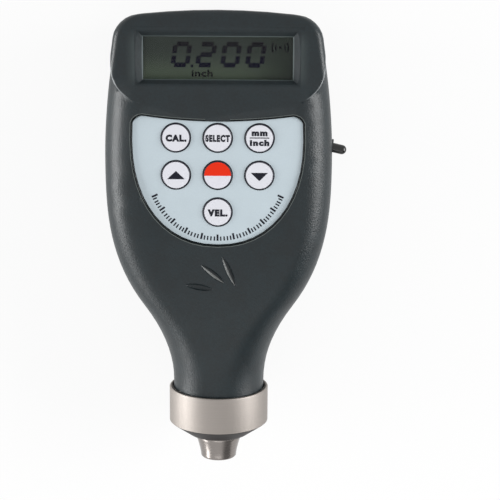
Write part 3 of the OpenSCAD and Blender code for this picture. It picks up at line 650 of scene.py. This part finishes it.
SLOTS: Dict[str, Finish] = {
    "housing": HOUSING,
    "housing_back": Finish(srgb(12, 23, 27), rough=0.4, grain=0.48, depth=0.08, mottle=0.3, specular=0.4),
    "screw_steel": Finish(srgb(150, 150, 152), rough=0.36, grain=0.2, depth=0.004, metallic=1.0),
    "clear_window": ClearSheet(srgb(235, 240, 238), rough=0.06),
    "display_cell": DisplayCell(srgb(71, 79, 74), rough=0.7, grain=0.15, depth=0.0004, specular=0.1,
                                low=srgb(102, 117, 98), shade=srgb(52, 60, 54)),
    "white_plastic": Finish(srgb(222, 222, 216), rough=0.5),
    "contact_rubber": Finish(srgb(222, 128, 148), rough=0.7, grain=0.2),
    "keypad_print": Finish(srgb(196, 209, 216), rough=0.42, grain=0.25, depth=0.004, mottle=0.025,
                           specular=0.3),
    "key_cap": KeyFilm(srgb(226, 227, 234), rough=0.42, grain=0.25, depth=0.004, mottle=0.02, specular=0.3),
    "power_cap": KeyFilm(srgb(228, 227, 236), rough=0.42, grain=0.25, depth=0.004, mottle=0.02,
                         specular=0.2, upper=srgb(231, 46, 12)),
    "circuit_board": Finish(srgb(34, 104, 58), rough=0.4, grain=1.2, depth=0.01, mottle=0.25),
    "black_plastic": Finish(srgb(34, 34, 36), rough=0.55),
    "socket_bush": Finish(srgb(24, 30, 32), rough=0.4, grain=0.25),
    "plug_rubber": Finish(srgb(16, 18, 18), rough=0.2, grain=0.25, depth=0.004),
    "cell_can": Finish(srgb(196, 164, 84), rough=0.35, grain=0.4, depth=0.003),
    "collar_steel": STEEL,
    "nose_steel": TurnedSteel(srgb(146, 140, 136), rough=0.24, depth=0.004, mottle=0.16, metallic=1.0,
                              pitch=0.2),
    "delay_plastic": Finish(srgb(196, 182, 150), rough=0.3, grain=0.5, depth=0.003),
    "cork_sheet": Finish(srgb(120, 84, 54), rough=0.85, grain=0.25, depth=0.03, mottle=0.35),
    "crystal_ceramic": Finish(srgb(206, 200, 160), rough=0.5, grain=0.15),
    "nut_brass": Finish(srgb(196, 162, 92), rough=0.32, grain=0.3, metallic=1.0),
    "lead_skin": Finish(srgb(168, 34, 30), rough=0.5, grain=0.3),
}


class Dresser:
    """Keeps the materials of the slots and puts pieces on the frame.

    Attributes:
        even: How much larger faces count in a smooth copy's normals, from 1 to 100.
    """

    even: ClassVar[int] = 80

    def __init__(self) -> None:
        """Reads which slot each node of the frame has."""
        self.materials: Dict[str, bpy.types.Material] = {}
        self.slot_of = {row["node"]: row["material_slot"] for row in frame["record"]["subparts"]}
        self.body_of = {node: body for body, nodes in frame["record"]["behaviour"]["bodies"].items()
                        for node in nodes}

    def material(self, name: str, finish: Finish) -> bpy.types.Material:
        """Gives the material of a name, made once.

        Args:
            name: Name of the material.
            finish: Finish that it is made from.

        Returns:
            The material.
        """
        if name not in self.materials:
            self.materials[name] = finish.dress(name)
        return self.materials[name]

    def paint(self, node: str) -> None:
        """Gives a node of the frame the finish of its slot.

        Args:
            node: Name of the node.
        """
        slot = self.slot_of[node]
        mesh = frame["nodes"][node].data
        mesh.materials.clear()
        mesh.materials.append(self.material(slot, SLOTS[slot]))
        LOG.info("painted %s as %s", node, slot)

    def add(self, name: str, mesh: bpy.types.Mesh, body: str, slot: str,
            material: bpy.types.Material) -> bpy.types.Object:
        """Puts a mesh on the frame as a piece.

        Args:
            name: Name of the piece.
            mesh: Mesh with its place in its vertices.
            body: Body on which the piece rides.
            slot: Slot of the piece's finish; not used.
            material: Material of the piece.

        Returns:
            The piece.
        """
        mesh.materials.clear()
        mesh.materials.append(material)
        piece = bpy.data.objects.new(name, mesh)
        bpy.context.scene.collection.objects.link(piece)
        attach(piece, body)
        LOG.info("added %s on %s", name, body)
        return piece

    def refine(self, node: str, finish: Optional[Finish] = None, angle: float = 32.0,
               crisp: Optional[Box] = None) -> bpy.types.Object:
        """Stands a smooth copy in for a node of the frame.

        Args:
            node: Name of the node.
            finish: Finish of its own, instead of its slot's.
            angle: Edges that turn by more than this many degrees stay sharp.
            crisp: Box in millimetres in which every edge of a cut stays sharp.

        Returns:
            The copy.
        """
        slot = self.slot_of[node]
        form = bmesh.new()
        form.from_mesh(frame["nodes"][node].data)
        bmesh.ops.remove_doubles(form, verts=form.verts, dist=MERGE)
        mesh = bpy.data.meshes.new(node + "_smooth")
        form.to_mesh(mesh)
        form.free()
        mesh.shade_smooth()
        mesh.set_sharp_from_angle(angle=math.radians(angle))
        if crisp is not None:
            self.sharpen(mesh, crisp)
        material = self.material(node + "_film", finish) if finish else self.material(slot, SLOTS[slot])
        piece = self.add(node + "_smooth", mesh, self.body_of[node], slot, material)
        weigh = piece.modifiers.new("even_faces", "WEIGHTED_NORMAL")
        weigh.keep_sharp = True
        weigh.weight = self.even
        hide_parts(node)
        return piece

    def sharpen(self, mesh: bpy.types.Mesh, crisp: Box, least: float = 7.0) -> None:
        """Keeps the edges of shallow cuts sharp inside a box.

        Args:
            mesh: Mesh whose edges are marked.
            crisp: Lowest and highest corner of the box in millimetres.
            least: Turn in degrees from which an edge there is sharp.
        """
        form = bmesh.new()
        form.from_mesh(mesh)
        for edge in form.edges:
            inside = all(low <= co / MM <= high for vert in edge.verts
                         for low, co, high in zip(crisp[0], vert.co, crisp[1]))
            if inside and edge.calc_face_angle(0.0) > math.radians(least):
                edge.smooth = False
        form.to_mesh(mesh)
        form.free()


def flat_mesh(form: bmesh.types.BMesh, name: str, base: float, thick: float) -> bpy.types.Mesh:
    """Turns flat faces into a thin printed layer.

    Args:
        form: Flat faces in millimetres, which are used up.
        name: Name of the mesh.
        base: Height of the layer's lower face in millimetres.
        thick: Thickness of the layer in millimetres.

    Returns:
        The mesh in metres.
    """
    bmesh.ops.recalc_face_normals(form, faces=form.faces)
    under = [face for face in form.faces if face.normal.z < 0]
    bmesh.ops.reverse_faces(form, faces=under)
    raised = bmesh.ops.extrude_face_region(form, geom=form.faces[:], use_keep_orig=True)
    tops = [item for item in raised["geom"] if isinstance(item, bmesh.types.BMVert)]
    bmesh.ops.translate(form, verts=tops, vec=(0, 0, thick))
    bmesh.ops.translate(form, verts=form.verts, vec=(0, 0, base))
    bmesh.ops.recalc_face_normals(form, faces=form.faces)
    bmesh.ops.scale(form, verts=form.verts, vec=(MM, MM, MM))
    mesh = bpy.data.meshes.new(name)
    form.to_mesh(mesh)
    form.free()
    return mesh


def add_bar(form: bmesh.types.BMesh, length: float, width: float, place: Matrix) -> None:
    """Adds a flat bar along X.

    Args:
        form: Flat faces in millimetres.
        length: Length of the bar.
        width: Width of the bar.
        place: Place of the bar's middle.
    """
    made = bmesh.ops.create_grid(form, x_segments=1, y_segments=1, size=0.5)
    bmesh.ops.scale(form, verts=made["verts"], vec=(length, width, 1))
    bmesh.ops.transform(form, verts=made["verts"], matrix=place)


@dataclass(frozen=True)
class Word:
    """Printed word that fills a box, in millimetres.

    Attributes:
        letters: Letters of the word.
        width: Width of the box.
        height: Height of the box.
        place: Middle of the box, from the point that the word belongs to.
        bold: How much the strokes are thickened, as a share of the letters' size.
        spacing: How much further apart the letters stand for each share of that.
        steps: Number of steps in each curve of a letter.
    """

    letters: str
    width: float
    height: float
    place: Point
    bold: float
    spacing: ClassVar[float] = 3.0
    steps: ClassVar[int] = 4


def add_word(form: bmesh.types.BMesh, word: Word, origin: Point = (0.0, 0.0)) -> None:
    """Adds a flat word.

    Args:
        form: Flat faces in millimetres.
        word: Word and its box.
        origin: Point that the word belongs to.
    """
    curve = bpy.data.curves.new("word", "FONT")
    curve.body = word.letters
    curve.offset = word.bold
    curve.space_character = 1 + word.spacing * word.bold
    curve.resolution_u = word.steps
    holder = bpy.data.objects.new("word", curve)
    bpy.context.scene.collection.objects.link(holder)
    bpy.context.view_layer.update()
    mesh = bpy.data.meshes.new_from_object(holder.evaluated_get(bpy.context.evaluated_depsgraph_get()))
    low = [min(vert.co[k] for vert in mesh.vertices) for k in range(2)]
    high = [max(vert.co[k] for vert in mesh.vertices) for k in range(2)]
    fit = Matrix.Translation((origin[0] + word.place[0], origin[1] + word.place[1], 0)) @ Matrix.Diagonal(
        (word.width / (high[0] - low[0]), word.height / (high[1] - low[1]), 1, 1))
    mesh.transform(fit @ Matrix.Translation((-(low[0] + high[0]) / 2, -(low[1] + high[1]) / 2, 0)))
    form.from_mesh(mesh)
    bpy.data.objects.remove(holder)
    bpy.data.curves.remove(curve)
    bpy.data.meshes.remove(mesh)


def add_arc(form: bmesh.types.BMesh, radius: float, width: float, start: float, turn: float,
            middle: Point, step: float = 8.0) -> None:
    """Adds a flat arc.

    Args:
        form: Flat faces in millimetres.
        radius: Radius of the arc's middle line.
        width: Width of the arc.
        start: Direction of its first end in degrees.
        turn: Angle that it turns through in degrees.
        middle: Centre of the arc.
        step: About how far one of its faces turns, in degrees.
    """
    line = Vector((math.cos(math.radians(start)), math.sin(math.radians(start)), 0))
    centre = Vector((*middle, 0))
    ends = [form.verts.new(centre + line * (radius + side * width / 2)) for side in (-1, 1)]
    edge = form.edges.new(ends)
    bmesh.ops.spin(form, geom=[*ends, edge], cent=centre, axis=(0, 0, 1), dvec=(0, 0, 0),
                   angle=math.radians(turn), steps=int(turn / step), use_duplicate=False)


@dataclass
class Housing:
    """Two moulded halves, their screws and the battery door.

    Attributes:
        dresser: Dresser that puts the pieces on the frame.
        flutes: Box round the three flutes in millimetres.
    """

    dresser: Dresser
    flutes: Box = ((-16.0, 55.0, 12.0), (8.0, 75.0, 16.0))

    def build(self) -> None:
        """Dresses the halves, the door and the screws."""
        self.dresser.refine("front_shell", crisp=self.flutes)
        for node in ("rear_shell", "battery_door", "shell_screws"):
            self.dresser.refine(node)


class Stroke(Enum):
    """Segments of a digit as (across, along, upright) in shares of its width and half height."""

    TOP = (0.5, 2.0, False)
    HIGH_RIGHT = (1.0, 1.5, True)
    LOW_RIGHT = (1.0, 0.5, True)
    FOOT = (0.5, 0.0, False)
    LOW_LEFT = (0.0, 0.5, True)
    HIGH_LEFT = (0.0, 1.5, True)
    MIDDLE = (0.5, 1.0, False)


ZERO = (Stroke.TOP, Stroke.HIGH_RIGHT, Stroke.LOW_RIGHT, Stroke.FOOT, Stroke.LOW_LEFT, Stroke.HIGH_LEFT)
TWO = (Stroke.TOP, Stroke.HIGH_RIGHT, Stroke.MIDDLE, Stroke.LOW_LEFT, Stroke.FOOT)


@dataclass
class Display:
    """Window, display cell and the marks that the display shows.

    Attributes:
        dresser: Dresser that puts the pieces on the frame.
        left: Left end of the first digit's foot.
        foot: Lower edge of the digits.
        pitch: Distance between the digits.
        width: Width of a digit.
        height: Height of a digit.
        bar: Width of a segment.
        slant: How far a digit leans for each millimetre of height.
        gap: How much shorter a segment is than its share of the digit, in widths of a segment.
        dot: Side of the point.
        dot_place: Middle of the point from the second digit's foot.
        unit: Unit's word.
        mark: Middle of the mark for a coupled probe.
        mark_radii: Radii of the mark's arcs.
        mark_line: Width of its arcs.
        mark_turn: Angle of its arcs in degrees.
        mark_dot: Radius of its dot.
        mark_steps: Number of steps round the dot.
        layer: Thickness of the dark layer.
    """

    dresser: Dresser
    left: float = -14.15
    foot: float = 125.25
    pitch: float = 7.32
    width: float = 5.6
    height: float = 7.55
    bar: float = 1.4
    slant: float = 0.14
    gap: float = 0.55
    dot: float = 0.75
    dot_place: Point = (-0.9, 0.4)
    unit: Word = Word("inch", 6.2, 2.05, (-4.7, 123.5), 0.03)
    mark: Point = (18.3, 131.2)
    mark_radii: Tuple[float, ...] = (1.4, 2.4)
    mark_line: float = 0.45
    mark_turn: float = 68.0
    mark_dot: float = 0.44
    mark_steps: int = 45
    layer: float = 0.03

    def add_segment(self, form: bmesh.types.BMesh, stroke: Stroke) -> None:
        """Adds one segment of a digit that stands at the origin.

        Args:
            form: Flat faces in millimetres.
            stroke: Segment of the digit.
        """
        across, along, upright = stroke.value
        half = (self.height - self.bar) / 2
        span = self.width - self.bar
        length = (half if upright else span) - self.gap * self.bar
        turn = Matrix.Rotation(math.radians(90 if upright else 0), 4, "Z")
        place = Matrix.Translation((self.bar / 2 + across * span, self.bar / 2 + along * half, 0))
        add_bar(form, length, self.bar, place @ turn)

    def digits(self) -> bmesh.types.BMesh:
        """Makes the leaning digits and the point.

        Returns:
            The flat faces in millimetres.
        """
        form = bmesh.new()
        for number, strokes in enumerate((ZERO, TWO, ZERO, ZERO)):
            before = set(form.verts)
            for stroke in strokes:
                self.add_segment(form, stroke)
            made = [vert for vert in form.verts if vert not in before]
            bmesh.ops.translate(form, verts=made, vec=(self.left + number * self.pitch, 0, 0))
        for vert in form.verts:
            vert.co.x += self.slant * vert.co.y
        across, along = self.dot_place
        add_bar(form, self.dot, self.dot, Matrix.Translation((self.left + self.pitch + across, along, 0)))
        bmesh.ops.translate(form, verts=form.verts, vec=(0, self.foot, 0))
        return form

    def marks(self) -> bmesh.types.BMesh:
        """Makes the unit's word and the mark for a coupled probe.

        Returns:
            The flat faces in millimetres.
        """
        form = bmesh.new()
        add_word(form, self.unit)
        for side in (0, 180):
            for radius in self.mark_radii:
                add_arc(form, radius, self.mark_line, side - self.mark_turn / 2, self.mark_turn, self.mark)
        made = bmesh.ops.create_circle(form, cap_ends=True, segments=self.mark_steps, radius=self.mark_dot)
        bmesh.ops.translate(form, verts=made["verts"], vec=(*self.mark, 0))
        return form

    def build(self) -> None:
        """Dresses the display and lays its marks on the cell."""
        for node in ("lcd_window", "lcd_cell", "lcd_carrier", "contact_strip"):
            self.dresser.paint(node)
        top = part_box("lcd_cell")[1].z / MM
        for name, form, finish in (("display_digits", self.digits(), DIGIT_INK),
                                   ("display_marks", self.marks(), MARK_INK)):
            mesh = flat_mesh(form, name, top - SINK, self.layer)
            self.dresser.add(name, mesh, ROOT, "display_cell", self.dresser.material(name + "_ink", finish))


class Legend(Enum):
    """What is printed on a key."""

    CALIBRATE = "key_cal"
    SELECT = "key_select"
    UNIT = "key_unit"
    UP = "key_up"
    POWER = "key_power"
    DOWN = "key_down"
    VELOCITY = "key_vel"


WORDS: Dict[Legend, Tuple[Word, ...]] = {
    Legend.CALIBRATE: (Word("CAL.", 6.2, 2.15, (0.1, -0.1), 0.08),),
    Legend.SELECT: (Word("SELECT", 7.3, 2.15, (0.0, -0.1), 0.07),),
    Legend.VELOCITY: (Word("VEL.", 6.0, 2.2, (0.0, -0.2), 0.08),),
    Legend.UNIT: (Word("mm", 4.7, 1.45, (0.0, 1.4), 0.07), Word("inch", 5.8, 1.9, (0.0, -1.35), 0.07)),
}


@dataclass
class Keypad:
    """Printed panel with its seven keys, in millimetres.

    Attributes:
        dresser: Dresser that puts the pieces on the frame.
        layer: Thickness of the print.
        unit_bar: Length, width and height over the key's middle of the bar between the units.
        up_arrow: Width, height and place over the key's middle of the upper arrow.
        down_arrow: The same of the lower arrow, whose height is below 0.
        rim_a: Half width of the graduated arc.
        rim_b: Height of the graduated arc.
        rim_y: Height of the arc's two ends over the probe's face.
        rim_power: Squareness of the arc.
        rim_top: Height over the probe's face up to which it has ticks.
        rim_steps: Number of steps that the arc is measured with.
        ticks: Number of ticks on the arc.
        long_every: Number of ticks from one long tick to the next.
        long_tick: Width and length of a long tick.
        short_tick: Width and length of a short tick.
        dark_edge: Distance from the panel at which the painted shadow line in the gap round it starts and
            ends.
        pale_edge: The same of the painted highlight line on the pocket's edge.
        key_clear: Distance from a key's middle within which no edge is the panel's own.
        edge_drop: Depth under the panel at which the housing still carries the lines.
    """

    dresser: Dresser
    layer: float = 0.02
    unit_bar: Tuple[float, float, float] = (5.8, 0.3, 0.12)
    up_arrow: Tuple[float, float, float] = (5.3, 2.5, 0.0)
    down_arrow: Tuple[float, float, float] = (5.1, -2.5, -0.4)
    rim_a: float = 21.9
    rim_b: float = 29.4
    rim_y: float = 103.8
    rim_power: float = 2.2
    rim_top: float = 87.4
    rim_steps: int = 400
    ticks: int = 51
    long_every: int = 5
    long_tick: Point = (0.58, 1.9)
    short_tick: Point = (0.42, 1.3)
    dark_edge: Band = (0.33, 0.6)
    pale_edge: Band = (0.6, 0.85)
    key_clear: float = 5.0
    edge_drop: float = 1.2

    def middle(self, legend: Legend) -> Point:
        """Gives the middle of a key in millimetres."""
        low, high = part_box(legend.value)
        return ((low.x + high.x) / 2 / MM, (low.y + high.y) / 2 / MM)

    def add_arrow(self, form: bmesh.types.BMesh, width: float, height: float, middle: Point) -> None:
        """Adds a triangle that points up, or down where the height is below 0.

        Args:
            form: Flat faces in millimetres.
            width: Width of its base.
            height: Height from its base to its tip.
            middle: Middle of its box.
        """
        # In a circle of radius 1 the triangle is sqrt(3) wide and 1.5 high, and its box's middle is 0.25 up.
        made = bmesh.ops.create_circle(form, cap_ends=True, segments=3, radius=1.0)["verts"]
        fit = Matrix.Translation((*middle, 0)) @ Matrix.Diagonal((width / math.sqrt(3), height / 1.5, 1, 1))
        bmesh.ops.transform(form, verts=made, matrix=fit @ Matrix.Translation((0, -0.25, 0)))

    def print_on(self, legend: Legend) -> bmesh.types.BMesh:
        """Makes the print of a key.

        Args:
            legend: Legend of the key.

        Returns:
            The flat faces in millimetres.
        """
        form = bmesh.new()
        x, y = self.middle(legend)
        for word in WORDS.get(legend, ()):
            add_word(form, word, (x, y))
        if legend is Legend.UNIT:
            length, width, lift = self.unit_bar
            add_bar(form, length, width, Matrix.Translation((x, y + lift, 0)))
        elif legend in (Legend.UP, Legend.DOWN):
            width, height, lift = self.up_arrow if legend is Legend.UP else self.down_arrow
            self.add_arrow(form, width, height, (x, y + lift))
        return form

    def rim(self, share: float) -> Vector:
        """Gives a point of the graduated arc.

        Args:
            share: Share of the arc's half turn, from 0 at the left end to 1 at the right.

        Returns:
            The point.
        """
        turn = math.radians(180 + 180 * share)
        across, along = math.cos(turn), math.sin(turn)
        return Vector((self.rim_a * math.copysign(abs(across) ** (2 / self.rim_power), across),
                       self.rim_y - self.rim_b * abs(along) ** (2 / self.rim_power), 0))

    def graduation(self) -> bmesh.types.BMesh:
        """Makes the arc of ticks along the panel's round end.

        Returns:
            The flat faces in millimetres.
        """
        form = bmesh.new()
        points: List[Vector] = [self.rim(k / self.rim_steps) for k in range(self.rim_steps + 1)]
        points = [point for point in points if point.y < self.rim_top]
        reach = [0.0]
        for first, second in zip(points, points[1:]):
            reach.append(reach[-1] + (second - first).length)
        for k in range(self.ticks):
            want = reach[-1] * k / (self.ticks - 1)
            at = min(range(1, len(points) - 1), key=lambda i: abs(reach[i] - want))
            along = (points[at + 1] - points[at - 1]).normalized()
            width, length = self.short_tick if k % self.long_every else self.long_tick
            place = Matrix.Translation(points[at]) @ Matrix.Rotation(math.atan2(along.y, along.x), 4, "Z")
            outer = Matrix.Translation((0, (length - self.long_tick[1]) / 2, 0))
            add_bar(form, width, length, place @ outer)
        return form

    def outline(self, form: bmesh.types.BMesh, top: float) -> Dict[bmesh.types.BMVert, Vector]:
        """Leaves only the upper outline of the panel.

        Args:
            form: Panel in metres, which loses everything else.
            top: Height of the panel's face in metres.

        Returns:
            The direction away from the panel at each vertex of the outline.
        """
        keys = [Vector((*self.middle(legend), top / MM)) * MM for legend in Legend]
        upright = {face for face in form.faces if abs(face.normal.z) < UPRIGHT}
        high = {vert for vert in form.verts if vert.co.z > top - LEVEL
                and min((vert.co - key).length for key in keys) > self.key_clear * MM}
        rim = {edge for edge in form.edges
               if upright.intersection(edge.link_faces) and high.issuperset(edge.verts)}
        away = {}
        for vert in {vert for edge in rim for vert in edge.verts}:
            sides = [face.normal for face in vert.link_faces if face in upright]
            away[vert] = sum(sides, Vector((0, 0, 0))).normalized()
        bmesh.ops.delete(form, geom=[edge for edge in form.edges if edge not in rim], context="EDGES_FACES")
        bmesh.ops.delete(form, geom=[vert for vert in form.verts if not vert.link_edges], context="VERTS")
        return away

    def edge_line(self, band: Band) -> bmesh.types.BMesh:
        """Makes a thin line that follows the panel's edge over the housing; the two lines made carry a painted
        shadow and a painted highlight.

        Args:
            band: Distance from the panel at which the line starts and ends.

        Returns:
            The faces in millimetres, at their height.
        """
        shell = frame["nodes"]["front_shell"].data
        ground = BVHTree.FromPolygons([vert.co for vert in shell.vertices],
                                      [tuple(face.vertices) for face in shell.polygons])
        above = max(vert.co.z for vert in shell.vertices) + MM
        form = bmesh.new()
        form.from_mesh(frame["nodes"]["keypad_panel"].data)
        bmesh.ops.remove_doubles(form, verts=form.verts, dist=MERGE)
        top = max(vert.co.z for vert in form.verts)
        away = self.outline(form, top)
        bmesh.ops.extrude_edge_only(form, edges=form.edges[:])
        for vert in [vert for vert in form.verts if vert not in away]:
            ends = [edge.other_vert(vert) for edge in vert.link_edges]
            root = next(end for end in ends if end in away)
            vert.co = root.co + away[root] * band[1] * MM
        for vert, aside in away.items():
            vert.co += aside * band[0] * MM
        for vert in form.verts:
            hit = ground.ray_cast(Vector((vert.co.x, vert.co.y, above)), Vector((0, 0, -1)))[0]
            vert.co.z = hit.z if hit is not None and hit.z > top - self.edge_drop * MM else top
        bmesh.ops.scale(form, verts=form.verts, vec=(1 / MM, 1 / MM, 1 / MM))
        return form

    def build(self) -> None:
        """Dresses the panel and the keys and prints them."""
        self.dresser.refine("keypad_panel")
        ink = self.dresser.material("print_ink", INK)
        for legend in Legend:
            film = replace(SLOTS[self.dresser.slot_of[legend.value]], centre=self.middle(legend))
            self.dresser.refine(legend.value, film)
            if legend is not Legend.POWER:
                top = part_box(legend.value)[1].z / MM
                name = legend.value + "_print"
                mesh = flat_mesh(self.print_on(legend), name, top - SINK, self.layer)
                self.dresser.add(name, mesh, self.dresser.body_of[legend.value], "keypad_print", ink)
        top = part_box("keypad_panel")[1].z / MM
        mesh = flat_mesh(self.graduation(), "panel_graduation", top - SINK, self.layer)
        self.dresser.add("panel_graduation", mesh, ROOT, "keypad_print", ink)
        # A painted shadow in the gap round the panel and a painted highlight on its pocket's edge.
        for name, band, finish in (("panel_gap_shadow", self.dark_edge, EDGE),
                                   ("panel_edge_highlight", self.pale_edge, RIM)):
            mesh = flat_mesh(self.edge_line(band), name, self.layer / 2, self.layer)
            self.dresser.add(name, mesh, ROOT, "keypad_print", self.dresser.material(name, finish))


@dataclass
class Probe:
    """Steel collar and nose with the delay lines.

    Attributes:
        dresser: Dresser that puts the pieces on the frame.
    """

    dresser: Dresser

    def build(self) -> None:
        """Dresses the probe."""
        for node in ("probe_collar", "probe_nose", "delay_lines"):
            self.dresser.refine(node)
        for node in ("sound_barrier", "probe_crystals", "backing_block", "clamp_nut", "neck_seal",
                     "probe_leads"):
            self.dresser.paint(node)


@dataclass
class SideSocket:
    """Bush in the flank and the rubber plug in it.

    Attributes:
        dresser: Dresser that puts the pieces on the frame.
    """

    dresser: Dresser

    def build(self) -> None:
        """Dresses the bush and the plug."""
        for node in ("data_socket", "socket_plug"):
            self.dresser.refine(node)


@dataclass
class Inside:
    """Board, switches and cells inside the housing.

    Attributes:
        dresser: Dresser that puts the pieces on the frame.
    """

    dresser: Dresser

    def build(self) -> None:
        """Paints the nodes that the housing hides."""
        for node in ("main_board", "board_screws", "key_switches", "buzzer", "processor_chip",
                     "clock_crystal", "supply_capacitor", "pulse_transformer", "battery_cells",
                     "battery_springs", "battery_contacts"):
            self.dresser.paint(node)


@dataclass(frozen=True)
class Lamp:
    """Soft box of the studio.

    Attributes:
        name: Name of the lamp.
        place: Place in metres.
        width: Width in metres.
        height: Height in metres.
        power: Power in watts.
    """

    name: str
    place: Tuple[float, float, float]
    width: float
    height: float
    power: float


@dataclass
class Studio:
    """Camera, pale floor, soft lamps and the world.

    Attributes:
        eye: Place of the camera in metres.
        aim: Point in the middle of the picture in metres.
        lens: Focal length in millimetres.
        sensor: Width of the sensor in millimetres.
        near: Distance in metres from which the camera sees.
        roll: Turn of the camera about its own axis in degrees.
        world: Light from all around.
        floor_half: Half width of the floor in metres.
        floor_shade: Brightness of the floor.
        glow: Share of the floor that shows plain white.
        wall: Direction of the studio's dim wall, which only gloss shows.
        wall_band: Nearness to that direction over which the wall grows dim.
        dusk: Light of the dim wall.
        lit: Point that the lamps face in metres.
        lamps: Soft boxes.
    """

    eye: Tuple[float, float, float] = (0.01542, 0.20422, 0.55347)
    aim: Tuple[float, float, float] = (0.00959, 0.06697, 0.0)
    lens: float = 133.07
    sensor: float = 36.0
    near: float = 0.01
    roll: float = 0.32
    world: float = 0.44
    floor_half: float = 3.0
    floor_shade: float = 0.94
    glow: float = 0.88
    wall: Tuple[float, float, float] = (0.78, -0.56, 0.27)
    wall_band: Band = (0.75, 0.95)
    dusk: float = 0.25
    lit: Tuple[float, float, float] = (0.0, 0.08, 0.0)
    lamps: Tuple[Lamp, ...] = (
        Lamp("left_box", (-0.9, 0.06, 0.13), 0.66, 0.34, 10.2),
        Lamp("right_box", (0.85, 0.13, 0.28), 0.72, 0.38, 9.5),
        Lamp("front_box", (-0.05, -0.42, 0.76), 0.6, 0.2, 0.5),
        Lamp("probe_box", (-0.66, -0.44, 0.17), 0.3, 0.24, 1.3),
    )

    def camera(self) -> None:
        """Sets the camera at the photograph's angle."""
        eye, aim = Vector(self.eye), Vector(self.aim)
        back = (eye - aim).normalized()
        right = Vector((0, 1, 0)).cross(back).normalized()
        turn = Matrix((right, back.cross(right), back)).transposed().to_4x4()
        lens = bpy.data.cameras.new("camera")
        lens.lens = self.lens
        lens.sensor_width = self.sensor
        lens.sensor_fit = "AUTO"
        lens.clip_start = self.near
        camera = bpy.data.objects.new("camera", lens)
        roll = Matrix.Rotation(math.radians(self.roll), 4, "Z")
        camera.matrix_world = Matrix.Translation(eye) @ turn @ roll
        bpy.context.scene.collection.objects.link(camera)
        bpy.context.scene.camera = camera

    def seen(self, tree: Tree) -> Wire:
        """Finds the rays that show the plain white background.

        Args:
            tree: Tree of the floor or of the world.

        Returns:
            1 where a ray comes from the camera, from gloss or through something clear.
        """
        camera, gloss, clear = (tree.node("ShaderNodeLightPath", output=name)
                                for name in ("Is Camera Ray", "Is Glossy Ray", "Is Transmission Ray"))
        return camera.most(gloss).most(clear)

    def floor(self) -> None:
        """Lays the pale floor under the flat back."""
        form = bmesh.new()
        bmesh.ops.create_grid(form, x_segments=1, y_segments=1, size=self.floor_half)
        bmesh.ops.translate(form, verts=form.verts, vec=(0, 0, CAD_BOX[0][2]))
        mesh = bpy.data.meshes.new("floor")
        form.to_mesh(mesh)
        form.free()
        tree = Tree(bpy.data.materials.new("floor"))
        shade = self.floor_shade
        plain = tree.node("ShaderNodeBsdfDiffuse", sockets={"Color": (shade, shade, shade, 1)})
        white = tree.node("ShaderNodeEmission", sockets={"Color": (1, 1, 1, 1), "Strength": 1.0})
        mixed = tree.node("ShaderNodeMixShader", sockets={0: self.seen(tree) * self.glow, 1: plain, 2: white})
        tree.node("ShaderNodeOutputMaterial", sockets={"Surface": mixed})
        mesh.materials.append(tree.owner)
        floor = bpy.data.objects.new("floor", mesh)
        bpy.context.scene.collection.objects.link(floor)

    def light(self) -> None:
        """Sets the lamps and the world."""
        for lamp in self.lamps:
            light = bpy.data.lights.new(lamp.name, "AREA")
            light.shape = "RECTANGLE"
            light.size, light.size_y, light.energy = lamp.width, lamp.height, lamp.power
            holder = bpy.data.objects.new(lamp.name, light)
            back = Vector(lamp.place) - Vector(self.lit)
            turn = back.to_track_quat("Z", "Y").to_matrix().to_4x4()
            holder.matrix_world = Matrix.Translation(lamp.place) @ turn
            bpy.context.scene.collection.objects.link(holder)
        world = bpy.data.worlds.new("studio")
        bpy.context.scene.world = world
        tree = Tree(world)
        soft = tree.node("ShaderNodeBackground", sockets={"Color": (1, 1, 1, 1), "Strength": self.world})
        white = tree.node("ShaderNodeBackground", sockets={"Color": (1, 1, 1, 1), "Strength": 1.0})
        bright = tree.node("ShaderNodeMixShader", sockets={0: self.seen(tree), 1: soft, 2: white})
        dim = tree.node("ShaderNodeBackground", sockets={"Color": (1, 1, 1, 1), "Strength": self.dusk})
        way = tree.node("ShaderNodeVectorMath", {"operation": "DOT_PRODUCT"}, {
            0: tree.node("ShaderNodeTexCoord", output="Generated"), 1: self.wall}, "Value")
        gloss = tree.node("ShaderNodeLightPath", output="Is Glossy Ray")
        mixed = tree.node("ShaderNodeMixShader", sockets={
            0: way.rise(*self.wall_band) * gloss, 1: bright, 2: dim})
        tree.node("ShaderNodeOutputWorld", sockets={"Surface": mixed})

    def build(self) -> None:
        """Sets the whole studio."""
        self.camera()
        self.floor()
        self.light()
        bpy.context.scene.view_settings.view_transform = "Standard"


def main() -> None:
    """Builds the studio and dresses each sub-assembly in order."""
    logging.basicConfig(level=logging.INFO, format="%(name)s: %(message)s")
    Studio().build()
    dresser = Dresser()
    for assembly in (Housing, Display, Keypad, Probe, SideSocket, Inside):
        assembly(dresser).build()
        LOG.info("finished %s", assembly.__name__)


if __name__ == "__main__":
    main()
